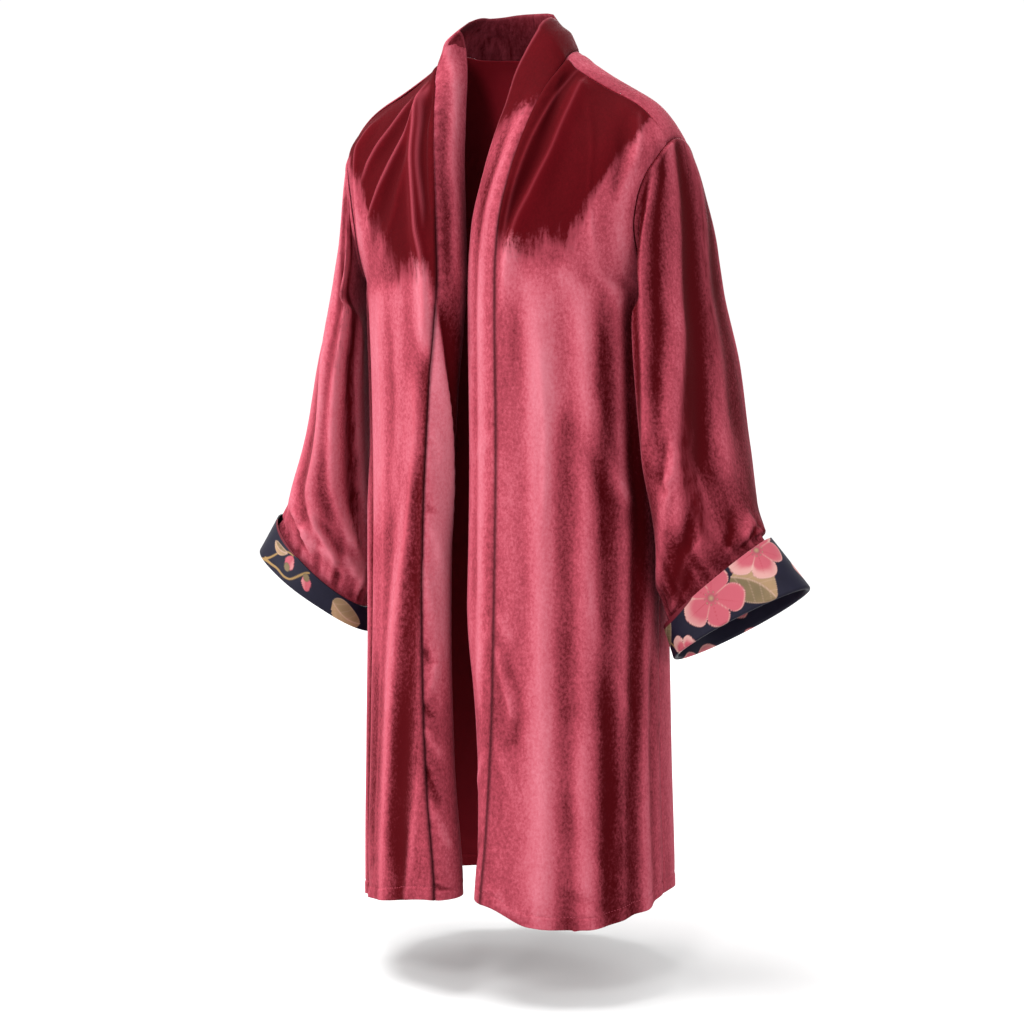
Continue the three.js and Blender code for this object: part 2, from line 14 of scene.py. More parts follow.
import bpy
import numpy as np
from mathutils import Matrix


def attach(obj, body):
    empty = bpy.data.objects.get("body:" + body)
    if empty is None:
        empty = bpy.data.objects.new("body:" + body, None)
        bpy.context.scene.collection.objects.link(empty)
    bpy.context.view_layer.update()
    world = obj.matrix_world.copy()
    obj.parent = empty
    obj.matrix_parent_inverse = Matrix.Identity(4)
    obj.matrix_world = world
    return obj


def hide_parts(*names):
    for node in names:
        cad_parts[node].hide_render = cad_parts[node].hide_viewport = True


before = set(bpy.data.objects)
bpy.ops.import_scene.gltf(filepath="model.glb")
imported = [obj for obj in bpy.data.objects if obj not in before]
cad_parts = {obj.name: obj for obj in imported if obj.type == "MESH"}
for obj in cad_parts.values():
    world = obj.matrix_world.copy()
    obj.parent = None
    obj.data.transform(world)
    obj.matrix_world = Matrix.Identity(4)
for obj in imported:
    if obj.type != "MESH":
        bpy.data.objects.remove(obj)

Array = np.ndarray
Colour = tuple[float, float, float]
Span = tuple[float, float]
TurnAt = Callable[[Array, Array], Array]
Triple = tuple[float, float, float]

LOG = logging.getLogger("robe")
MM = 0.001

UNDERARM_Z = -265.0
UNDERARM_REACH = 40.0  # below the underarm, over which the armhole's edge gives way to the side
RIDGE_Y = 8.0  # top line of the shoulders
NECK_HALF = 74.0  # half width of the neck, at its seam
NECK_SHARE = 0.42  # of the back's half width, from the centre to the neck point
ROUND = 0.9  # 1 makes the body's section an ellipse, less makes it squarer
FRONT_WIDTH = 230.0  # round the body, from the band to the side seam
BACK_WIDTH = 480.0
SLEEVE_GIRTH = 400.0
SLEEVE_LENGTH = 520.0
BAND_WIDTH = 50.0
HEM_DEPTH = 18.0
HEM_ROWS = 26
HEM_REACH = 1.3  # how far up these rows go, in hem depths
SHOULDER_LIP = 0.8  # by which a front stands over the back at the shoulder seam
SKIRT_LENGTH = 650.0  # underarm to hem
VELVET_THICK = 1.3
BAND_THICK = 2.4
CUFF_THICK = 1.5
SEAM_DEPTH = 0.9  # of the groove along a seam
SEAM_HALF = 3.0  # half width of that groove
SEAM_SHADE = 0.85  # strength of the painted shade in the groove beside the band and under the collar
PUCKER_RISE = 0.35  # of the gathers that a seam's thread pulls
BRUSH_FEATHER = 26.0  # over which the brushed pile of the chest gives way
BRUSH_LIMIT = 2.0  # the most that the brushed mark tells, each way
UNBRUSHED = -BRUSH_LIMIT
THREAD_CREST = 0.2  # how bright the stitches are, as the finish's crest mark
LEAST_FADE = 0.1  # of a crease that ends at once
RIM_HALF = 2.4  # half width of the painted highlight along a fold's crest
RIM_RISE = 2.3  # a lower fold has no painted highlight
RIM_FULL = 4.0  # rise of a fold whose painted highlight is palest
CREST_RISE = 6.0  # rise at which a fold's crest gets its brightest painted highlight, as a trough as deep gets its darkest painted shade
CREST_LIMIT = 0.85  # of the crest mark, the folds' painted light and shade, so that no fold loses its grain


def mix(first: Array, second: Array, share: Array) -> Array:
    """Goes from the first value to the second."""
    return first + (second - first) * share


def ease(share: Array) -> Array:
    """A smooth step from 0 to 1."""
    t = np.clip(share, 0.0, 1.0)
    return t * t * (3.0 - 2.0 * t)


def bump(offset: Array, half: Array) -> Array:
    """A soft bell, 1 at no offset."""
    return np.exp(-((offset / half) ** 2))


@dataclass(frozen=True)
class Ramp:
    """A smooth step from 0 at its start to 1 a length on, where a length below 0 leads down."""

    start: float
    length: float

    def __call__(self, value: Array) -> Array:
        """The step at some values."""
        return ease((value - self.start) / self.length)


@dataclass(frozen=True)
class Bell:
    """A soft bell, 1 at its place."""

    at: float
    half: float

    def __call__(self, value: Array) -> Array:
        """The bell at some values."""
        return bump(value - self.at, self.half)


class Table:
    """A smooth curve through a table's rows, by its first column. It doesn't overshoot them."""

    def __init__(self, names: str, *rows: Sequence[float]) -> None:
        """Sorts the rows and finds each one's slopes.

        Args:
            names: The columns' names, the key first, with spaces between.
            rows: One sequence of numbers for each row.
        """
        data = np.array(sorted(rows), float)
        self.names = names.split()[1:]
        self.key = data[:, 0]
        self.rows = data[:, 1:]
        rise = np.diff(self.rows, axis=0) / np.diff(self.key)[:, None]
        self.slope = np.zeros_like(self.rows)
        left, right = rise[:-1], rise[1:]
        same = left * right > 0
        total = np.where(same, left + right, 1.0)
        self.slope[1:-1] = np.where(same, 2.0 * left * right / total, 0.0)

    def __call__(self, key: Array) -> dict[str, Array]:
        """Every column at some values of the key.

        Args:
            key: One number or an array. Past an end, the end's row holds.

        Returns:
            An array of the key's shape for each column's name.
        """
        x = np.clip(np.asarray(key, float), self.key[0], self.key[-1])
        i = np.clip(np.searchsorted(self.key, x, side="right") - 1, 0, len(self.key) - 2)
        span = self.key[i + 1] - self.key[i]
        t = (x - self.key[i]) / span
        found = {}
        for column, name in enumerate(self.names):
            a, b = self.rows[i, column], self.rows[i + 1, column]
            leaving, coming = self.slope[i, column] * span, self.slope[i + 1, column] * span
            found[name] = (
                a * (1 + 2 * t) * (1 - t) ** 2
                + leaving * t * (1 - t) ** 2
                + b * t * t * (3 - 2 * t)
                + coming * t * t * (t - 1)
            )
        return found

    def one(self, key: Array) -> Array:
        """The only column of a table of two."""
        return self(key)[self.names[0]]


@dataclass(frozen=True)
class Crease:
    """A soft ridge or trough along a line on a piece of cloth.

    The line's points are (along, across) in mm: along is a height or a length, and across is the distance
    from the piece's first edge. Rise is below 0 for a trough, and half is half its width. Skew makes the
    flank on the higher side of across wider and the other steeper. Fade is the length in which it starts
    at its upper end, and that in which it stops at its lower one.
    """

    line: tuple[tuple[float, float], ...]
    rise: float
    half: float
    skew: float = 0.0
    fade: tuple[float, float] = (50.0, 50.0)

    def relief(self, along: Array, across: Array, girth: float = 0.0) -> Array:
        """How far the cloth moves out at each point.

        Args:
            along: The points' places along the piece.
            across: The points' places across it.
            girth: The distance after which a tube's across starts again, or 0.

        Returns:
            The movement in mm.
        """
        path = Table("along across", *self.line)
        tilt = (path.one(along + 1.0) - path.one(along - 1.0)) / 2.0
        off = across - path.one(along)
        if girth:
            off = off - girth * np.round(off / girth)
        off = off / np.sqrt(1.0 + tilt**2)
        half = np.where(off > 0, self.half * (1 + self.skew), self.half * (1 - self.skew))
        low, high = path.key[0], path.key[-1]
        first, last = max(self.fade[0], LEAST_FADE), max(self.fade[1], LEAST_FADE)
        ends = ease((high - along) / first) * ease((along - low) / last)
        return self.rise * bump(off, half) * ends

    def rim(self, along: Array, across: Array, girth: float = 0.0) -> Array:
        """How much each point gets of the painted highlight on the crest of a high ridge. Its arguments are
        relief's.
        """
        if self.rise < RIM_RISE:
            return np.zeros_like(along)
        pale = Crease(self.line, min(self.rise / RIM_FULL, 1.0), RIM_HALF, 0.0, self.fade)
        return pale.relief(along, across, girth)


def rimmed(creases: Sequence[Crease], along: Array, across: Array, girth: float = 0.0) -> Array:
    """The painted highlights on the crests of several creases together, at most 1."""
    crests = (crease.rim(along, across, girth) for crease in creases)
    return np.minimum(sum(crests, np.zeros_like(along)), 1.0)


def creased(creases: Sequence[Crease], along: Array, across: Array, girth: float = 0.0) -> Array:
    """The relief of several creases together."""
    return sum((crease.relief(along, across, girth) for crease in creases), np.zeros_like(along))


def limited(crest: Array) -> Array:
    """A crest mark, the folds' painted light and shade, that levels off softly at its limit."""
    return CREST_LIMIT * np.tanh(crest / CREST_LIMIT)


def ripple(along: Array, across: Array, seed: float) -> Array:
    """Slow uneven waves that run mostly down the cloth, between about -1 and 1.

    Their lengths in mm share no multiple, so that the pattern doesn't repeat on a piece.

    Args:
        along: Places along the cloth, in mm.
        across: Places across it, in mm.
        seed: Shifts the pattern, so that no two pieces are alike.

    Returns:
        The wave at each place.
    """
    drift = 9.0 * np.sin(along / 83.0 + seed) + 5.0 * np.sin(along / 37.0 + 2.3 * seed)
    wave = np.sin((across + drift) / 7.3 + seed) * np.sin(along / 131.0 + 1.7 * seed + across / 90.0)
    wave += 0.8 * np.sin((across - drift) / 11.9 + 1.9 * seed) * np.cos(along / 97.0 + seed)
    wave += 0.5 * np.sin((across + 0.35 * along) / 15.1 + 0.7 * seed)
    return wave / 2.3


def puckers(along: Array, seed: float) -> Array:
    """The small uneven gathers that thread pulls along a seam, between about -1 and 1."""
    wander = 3.0 * np.sin(along / 31.0 + seed)
    return 0.6 * np.sin((along + wander) / 2.1) + 0.4 * np.sin((along - wander) / 3.3 + seed)


def volume_of(verts: Array, quads: Array) -> float:
    """Six times the volume that closed faces hold, below 0 if they face inward."""
    corners = verts[quads]
    first = np.cross(corners[:, 1] - corners[:, 0], corners[:, 2] - corners[:, 0])
    second = np.cross(corners[:, 2] - corners[:, 0], corners[:, 3] - corners[:, 0])
    return float(np.einsum("ij,ij->", corners[:, 0], first) + np.einsum("ij,ij->", corners[:, 0], second))


def brushed_above(foot: Array, along: Array) -> Array:
    """How far inside the brushed pile above its foot each point is, from -2 to 2."""
    return np.clip((along - foot) / BRUSH_FEATHER, -BRUSH_LIMIT, BRUSH_LIMIT)


def unit(vectors: Array) -> Array:
    """The vectors' directions."""
    return vectors / np.linalg.norm(vectors, axis=-1, keepdims=True)


def lengths(path: Array) -> Array:
    """How far along a line of points each of them is."""
    return np.concatenate([[0.0], np.cumsum(np.linalg.norm(np.diff(path, axis=0), axis=1))])


def normals_of(points: Array, ring: bool = False) -> Array:
    """Unit normals of a grid of points, by its neighbours.

    Args:
        points: Rows by columns by 3.
        ring: Whether the last column meets the first.

    Returns:
        An array of the same shape, each along the columns' direction crossed with the rows'.
    """
    if ring:
        along = np.roll(points, -1, axis=1) - np.roll(points, 1, axis=1)
    else:
        along = np.gradient(points, axis=1)
    down = np.gradient(points, axis=0)
    normal = np.cross(along, down)
    return normal / np.maximum(np.linalg.norm(normal, axis=2, keepdims=True), 1e-9)


class Face(Enum):
    """The front or the back of the body."""

    FRONT = -1
    BACK = 1


@dataclass(frozen=True)
class Torso:
    """The worn form that the fronts and the back hang on."""

    section: Table = Table(
        "z middle side front back seam",
        (0, 0, 169, 126, 112, 5),
        (UNDERARM_Z, 0, 169, 123, 112, 5),
        (-420, 2, 168, 121, 114, 4),
        (-600, 5, 168, 124, 128, -2),
        (-760, 8, 170, 128, 142, -8),
        (-930, 11, 173, 132, 156, -12),
    )
    armhole_front: Table = Table(
        "z x turn",
        (-100, 186, 28),
        (-119, 182, 31),
        (-139, 174, 36),
        (-165, 167, 44),
        (-199, 163, 54),
        (-240, 165, 71),
        (UNDERARM_Z, 169, 90),
    )
    armhole_back: Table = Table(
        "z x turn",
        (-100, 186, 28),
        (-128, 183, 36),
        (-165, 177, 47),
        (-210, 171, 58),
        (-245, 168, 74),
        (UNDERARM_Z, 169, 90),
    )
    front_roll: float = 190.0
    back_roll: float = 150.0
    shoulder: Table = Table(
        "u ridge seam",
        (0, -8, 0.19),
        (0.1, -17, 0.2),
        (0.4, -39, 0.2),
        (0.7, -58, 0.2),
        (0.86, -74, 0.21),
        (0.96, -90, 0.215),
        (1, -100, 0.22),
    )
    neck: Table = Table(
        "n ridge start",
        (0, 14, 0.27),
        (0.5, 10, 0.24),
        (0.8, 1, 0.16),
        (0.93, -5, 0),
        (1, -8, -0.19),
    )

    def point(self, face: Face, sign: Array, z: Array, ridge: Array, turn_at: TurnAt) -> Array:
        """A point of the body at some height.

        Args:
            face: Which side of the body it is on.
            sign: 1 on the wearer's left and -1 on their right.
            z: Its height.
            ridge: The height of the shoulder's top line above it.
            turn_at: Gives its turn from the centre line, out of the section's half width and the
                armhole's turn.

        Returns:
            Points, with a last axis of 3.
        """
        section = self.section(z)
        hole = (self.armhole_front if face is Face.FRONT else self.armhole_back)(z)
        outer = np.radians(hole["turn"])
        wide = np.where(z < UNDERARM_Z, section["side"], hole["x"] / np.sin(outer) ** ROUND)
        turn = turn_at(wide, outer)
        roll = self.front_roll if face is Face.FRONT else self.back_roll
        depth = section["front"] if face is Face.FRONT else section["back"]
        fall = np.clip((ridge - z) / roll, 0.0, 1.0)
        deep = depth * np.sqrt(1 - (1 - fall) ** 2) * np.maximum(np.cos(turn), 0.0) ** ROUND
        x = section["middle"] + sign * wide * np.maximum(np.sin(turn), 0.0) ** ROUND
        y = mix(RIDGE_Y, section["seam"], fall) + face.value * deep
        return np.stack(np.broadcast_arrays(x, y, z), axis=-1)

    @staticmethod
    def turn_of(x: Array, wide: Array) -> Array:
        """The turn at which the section reaches x."""
        return np.arcsin(np.clip(x / wide, 0.0, 1.0) ** (1 / ROUND))

    @staticmethod
    def height(h: Array, start: Array, ridge: Array, hem: Array) -> Array:
        """The height of row h: the shoulder is 0, the underarm 1 and the hem 2."""
        roll = mix(start, 1.0, np.minimum(h, 1.0))
        return np.where(h > 1.0, mix(UNDERARM_Z, hem, h - 1.0), mix(ridge, UNDERARM_Z, roll * roll))

    def armhole(self, turn: Array) -> Array:
        """The armhole's edge, by the share of a turn round it from the top through the front."""
        forward = turn <= 0.5
        roll = np.where(forward, turn, 1 - turn) / 0.5
        ridge = self.shoulder(1.0)["ridge"]
        z = mix(ridge, UNDERARM_Z, roll * roll)
        front = self.point(Face.FRONT, 1.0, z, ridge, lambda wide, outer: outer)
        back = self.point(Face.BACK, 1.0, z, ridge, lambda wide, outer: outer)
        return np.where(forward[..., None], front, back)


TORSO = Torso()


@dataclass(frozen=True)
class Ring:
    """A closed section of a sleeve or a cuff, or many of them as arrays."""

    x: Array
    y: Array
    z: Array
    out: Array
    deep: Array
    lift: Array
    nod: Array
    yaw: Array

    def point(self, turn: Array, swell: Array) -> Array:
        """A point of the ring.

        Args:
            turn: The share of a whole turn, from 0 on the outer side through 0.25 in front.
            swell: How far outside the ring it lies.

        Returns:
            Points, with a last axis of 3.
        """
        cos, sin = np.cos(2 * np.pi * turn), np.sin(2 * np.pi * turn)
        yaw = np.radians(self.yaw)
        grow = 1 + swell / np.hypot(self.out, self.lift)
        out = self.out * cos * grow
        forward = (self.deep + swell) * sin
        x = self.x + out * np.cos(yaw) - forward * np.sin(yaw)
        y = self.y - out * np.sin(yaw) - forward * np.cos(yaw)
        z = self.z + self.lift * cos * grow + self.nod * sin
        return np.stack(np.broadcast_arrays(x, y, z), axis=-1)


@dataclass(frozen=True)
class Side:
    """What differs between the wearer's left and right.

    Sign is 1 on the left. Edge is the front's edge beside the band, by height, and hem its foot, by the share
    across. Mouth is the cuff's ring at its mouth. Lean is the band's direction out of its seam and its curl,
    by k, which is 0 at the centre back, 1 at the neck point, 2 at the underarm and 3 at the hem. Brushed is
    the foot of the crushed pile on the chest, collar_brushed that on the band, and sleeve_dark the middle of
    its streak on the sleeve. Rims is how strong the painted highlight along the folds' crests is. The
    sleeve's painted light or painted shade makes its whole pile paler or darker, and the front's and the
    band's painted light are creases of colour alone, bands of painted highlight and painted shade with no
    fold under them.
    """

    name: str
    sign: int
    seed: float
    edge: Table
    hem: Table
    mouth: dict[str, float]
    lean: Table
    brushed: Table
    collar_brushed: float
    rims: float
    sleeve_tone: float
    sleeve_dark: Table
    front_naps: tuple[Crease, ...]
    front_creases: tuple[Crease, ...]
    sleeve_creases: tuple[Crease, ...]
    band_creases: tuple[Crease, ...]
    band_painted_light: tuple[Crease, ...]


LEFT = Side(
    name="left",
    sign=1,
    seed=1.3,
    edge=Table(
        "z x",
        (-17, NECK_HALF),
        (-50, 65),
        (-134, 45),
        (-195, 33),
        (-253, 29),
        (-373, 28),
        (-700, 25),
        (-830, 19),
        (-920, 12),
    ),
    hem=Table("u z", (0, -909), (0.2, -929), (0.42, -932), (0.8, -921), (1, -912)),
    mouth={"x": 266, "y": -4, "z": -613, "out": 75, "deep": 48, "lift": 44, "nod": 9, "yaw": 0},
    lean=Table(
        "k x y z curl",
        (0, 0, -0.2, 1, 10),
        (0.5, 0.25, -0.3, 0.92, 20),
        (0.85, 0.58, -0.15, 0.78, 40),
        (1, 0.7, 0.1, 0.68, 40),
        (1.2, 0.84, 0.3, 0.3, 30),
        (1.4, 0.86, 0.48, 0.1, 30),
        (1.75, 0.85, 0.52, 0, 30),
        (2.5, 0.85, 0.52, 0, 30),
        (2.8, 0.55, 0.83, 0, 60),
        (3, 0.4, 0.92, 0, 60),
    ),
    # painted highlight and painted shade: pale and dark bands with no fold under them
    front_naps=(
        Crease(((-230, 44), (-330, 40), (-480, 34), (-700, 40), (-932, 50)), 0.3, 26, 0.2, (30, 40)),
        Crease(((-230, 160), (-500, 158), (-932, 150)), -0.2, 62, 0.0, (50, 10)),
        Crease(((-225, 86), (-290, 80), (-370, 74), (-420, 72)), 0.5, 22, 0.0, (20, 60)),
        Crease(((-250, 124), (-330, 120), (-420, 118), (-520, 122), (-580, 124)), -0.4, 15, 0.0, (50, 70)),
        Crease(((-300, 146), (-400, 148), (-480, 152)), 0.35, 9, 0.0, (40, 60)),
        Crease(((-380, 172), (-520, 184), (-640, 180), (-760, 176)), -0.6, 13, 0.0, (60, 80)),
        Crease(((-640, 122), (-760, 130), (-932, 132)), -0.35, 14, 0.0, (60, 30)),
        Crease(((-700, 92), (-800, 96), (-932, 106)), 0.4, 16, 0.0, (60, 30)),
        Crease(((-120, 215), (-180, 206), (-250, 200)), 0.5, 14, 0.0, (30, 50)),
    ),
    brushed=Table(
        "across foot",
        (0, -206),
        (20, -212),
        (50, -219),
        (75, -208),
        (97, -214),
        (120, -200),
        (138, -182),
        (155, -160),
        (167, -134),
        (182, -112),
        (196, -84),
        (230, -50),
    ),
    collar_brushed=-215.0,
    # painted highlight along the fold crests, faint on this side
    rims=0.22,
    # painted shade that darkens this whole sleeve
    sleeve_tone=-0.42,
    sleeve_dark=Table(
        "s turn",
        (0, 0.05),
        (0.23, 0.018),
        (0.365, 0.04),
        (0.51, 0.088),
        (0.6, 0.118),
        (0.85, 0.17),
    ),
    front_creases=(
        Crease(
            ((-20, 49), (-75, 58), (-110, 57), (-156, 44), (-186, 29), (-213, 20), (-300, 8)),
            6.5, 11, 0.45, (30, 90),
        ),
        Crease(((-21, 24), (-109, 36), (-172, 18), (-240, 6)), -5.0, 10, 0.0, (20, 80)),
        Crease(((-14, 30), (-72, 23), (-110, 17), (-170, 13), (-240, 10)), 2.6, 4.5, 0.3, (14, 40)),
        Crease(((-14, 36), (-60, 44), (-95, 45)), 1.6, 4, 0.3, (14, 40)),
        Crease(((-30, 14), (-70, 26), (-120, 24)), 1.4, 4, -0.3, (14, 40)),
        Crease(((-52, 76), (-87, 104), (-141, 138), (-191, 152), (-240, 150)), 1.8, 7, 0.3, (30, 60)),
        Crease(((-60, 92), (-105, 124), (-165, 150), (-215, 160)), -1.6, 7, 0.0, (30, 50)),
        Crease(((-66, 172), (-97, 189), (-117, 200), (-150, 212)), 3.2, 8, -0.2, (24, 26)),
        Crease(((-84, 156), (-110, 172), (-140, 186), (-180, 196)), -2.0, 8, 0.0, (24, 40)),
        Crease(((-30, 112), (-70, 150), (-95, 180)), 1.2, 9, 0.0, (20, 30)),
        Crease(((-215, 39), (-330, 45), (-478, 45), (-687, 53), (-932, 61)), 3, 16.9, 0.25, (90, 0)),
        Crease(((-250, 26), (-457, 30), (-583, 34), (-700, 36)), -1.6, 10.4, 0.0, (60, 90)),
        Crease(((-230, 70), (-360, 76), (-477, 73), (-687, 76), (-932, 84)), -3, 14.3, -0.2, (90, 0)),
        Crease(((-240, 97), (-400, 103), (-582, 100), (-794, 102), (-932, 113)), 2.6, 15.6, 0.3, (80, 0)),
        Crease(((-300, 46), (-420, 52), (-520, 50)), 1.5, 6, 0.4, (40, 50)),
        Crease(((-260, 125), (-420, 129), (-584, 126), (-760, 131), (-932, 135)), -2.9, 16.9, 0.25, (80, 0)),
        Crease(((-345, 105), (-370, 113), (-440, 133), (-485, 167), (-500, 185)), 2.2, 13, -0.35, (50, 30)),
        Crease(((-390, 96), (-460, 116), (-515, 160)), -2.2, 10, 0.0, (50, 40)),
        Crease(
            ((-220, 144), (-330, 148), (-440, 150), (-584, 156), (-753, 152), (-932, 154)),
            3, 14.3, 0.0, (60, 0),
        ),
        Crease(
            ((-240, 167), (-330, 167), (-420, 171), (-520, 181), (-640, 175), (-932, 169)),
            -4.7, 16.9, -0.2, (60, 0),
        ),
        Crease(((-560, 195), (-692, 187), (-853, 185), (-932, 191)), 3.6, 16.9, 0.2, (90, 0)),
        Crease(((-600, 208), (-760, 204), (-932, 208)), -3.0, 10, 0.0, (80, 0)),
        Crease(((-560, 109), (-640, 125), (-700, 157), (-730, 175)), 1.2, 11.7, -0.3, (60, 40)),
        Crease(((-760, 67), (-820, 91), (-860, 125), (-880, 147)), -1.1, 13, 0.0, (60, 40)),
        Crease(((-628, 2), (-661, 9), (-696, 18), (-716, 21)), 2.2, 4, 0.4, (16, 14)),
        Crease(((-640, 14), (-690, 28), (-730, 26), (-745, 12)), -1.6, 5, 0.0, (20, 16)),
        Crease(((-724, 6), (-760, 14), (-800, 26)), 1.2, 5, 0.2, (20, 30)),
        Crease(((-590, 2), (-612, 12), (-640, 22)), 1.6, 6, -0.3, (14, 24)),
        Crease(((-880, 8), (-905, 20), (-925, 40)), 1.4, 7, 0.0, (16, 12)),
        Crease(((-884, 84), (-905, 110), (-918, 150)), -1.6, 8, 0.0, (16, 20)),
    ),
    sleeve_creases=(
        Crease(
            ((-8, 40), (-60, 22), (-89, 19), (-184, 28), (-282, 54), (-360, 76), (-420, 98)),
            5.4, 12.5, 0.45, (18, 40),
        ),
        Crease(((-240, 84), (-300, 88), (-350, 96)), 3.4, 12, 0.0, (40, 40)),
        Crease(((-20, 24), (-106, 4), (-194, 10), (-283, 24), (-370, 44)), -4.3, 11.2, 0.0, (30, 60)),
        Crease(((-14, 62), (-60, 54), (-176, 58), (-278, 80), (-350, 92)), -3.6, 11.2, 0.2, (24, 60)),
        Crease(((-6, 84), (-80, 76), (-171, 80), (-276, 100), (-340, 122)), 3.4, 13.8, -0.3, (14, 60)),
        Crease(((-14, 108), (-90, 100), (-200, 108), (-320, 130)), -2.5, 12.5, 0.0, (20, 70)),
        Crease(((-10, 392), (-81, 374), (-179, 380), (-267, 392), (-373, 412)), 3.9, 15, -0.2, (20, 60)),
        Crease(((-55, 352), (-130, 360), (-206, 372), (-330, 382)), -3.6, 15, 0.0, (30, 60)),
        Crease(((-250, 40), (-302, 44), (-368, 58), (-441, 84)), 2.8, 10, -0.3, (50, 20)),
        Crease(((-284, 66), (-316, 74), (-340, 88), (-362, 86)), -3.4, 6, 0.4, (24, 16)),
        Crease(((-300, 58), (-332, 70), (-352, 98)), 2.6, 6, -0.4, (20, 20)),
        Crease(((-330, 80), (-348, 85), (-396, 117), (-418, 132), (-445, 158)), 4.7, 10, 0.5, (26, 12)),
        Crease(((-360, 66), (-400, 84), (-436, 112), (-456, 132)), -3.9, 11.2, 0.0, (40, 8)),
        Crease(((-405, 70), (-429, 101), (-442, 118), (-462, 150)), 3.0, 7, 0.3, (24, 8)),
        Crease(((-372, 18), (-403, 30), (-442, 54)), -3.4, 6, 0.3, (30, 8)),
        Crease(((-380, 4), (-412, 14), (-448, 36)), 3.4, 7, -0.2, (30, 8)),
        Crease(((-405, -10), (-426, 6), (-456, 36)), -3.0, 6, 0.3, (24, 8)),
        Crease(((-120, 150), (-250, 158), (-360, 168)), 3.1, 17.5, 0.0, (60, 60)),
        Crease(((-150, 184), (-280, 190), (-380, 196)), -3.1, 17.5, 0.0, (60, 60)),
        Crease(((-60, 250), (-180, 258), (-300, 252), (-420, 262)), 3.9, 17.5, 0.3, (40, 50)),
        Crease(((-80, 282), (-190, 292), (-310, 286), (-430, 296)), -3.9, 16.2, 0.0, (40, 40)),
        Crease(((-40, 318), (-150, 326), (-290, 322), (-420, 334)), 4.3, 17.5, -0.3, (30, 50)),
        Crease(((-300, 226), (-370, 240), (-440, 262)), 2.7, 11.2, 0.3, (50, 16)),
        Crease(((-330, 300), (-390, 316), (-450, 310)), 2.7, 10, -0.3, (40, 12)),
    ),
    band_creases=(
        Crease(
            ((-180, 12), (-237, 11), (-322, 15), (-386, 18), (-531, 21), (-744, 20), (-900, 18)),
            1.9, 7, 0.3, (60, 80),
        ),
        Crease(((-230, 24), (-330, 30), (-420, 32), (-600, 33), (-800, 30)), -1.4, 7, 0.0, (60, 90)),
        Crease(((-300, 42), (-420, 41), (-700, 42), (-960, 40)), 1.0, 7, 0.0, (80, 60)),
        Crease(((-760, 6), (-800, 16), (-850, 26)), 1.0, 5, 0.2, (30, 30)),
        Crease(((-560, 8), (-585, 20), (-600, 34)), 0.9, 6, 0.0, (14, 14)),
        Crease(((-900, 8), (-930, 22), (-960, 36)), 1.2, 6, 0.3, (20, 20)),
        Crease(((-990, 10), (-1020, 24), (-1050, 38)), -1.2, 6, 0.0, (20, 20)),
        Crease(((-20, 20), (-60, 26), (-110, 22)), 1.2, 7, 0.0, (20, 40)),
        Crease(((-40, 38), (-90, 34), (-150, 40)), -1.0, 7, 0.0, (20, 40)),
    ),
    # a band of painted highlight on the band's pile
    band_painted_light=(
        Crease(((-330, 30), (-480, 26), (-700, 28), (-900, 26)), 0.3, 14, 0.0, (60, 90)),
    ),
)

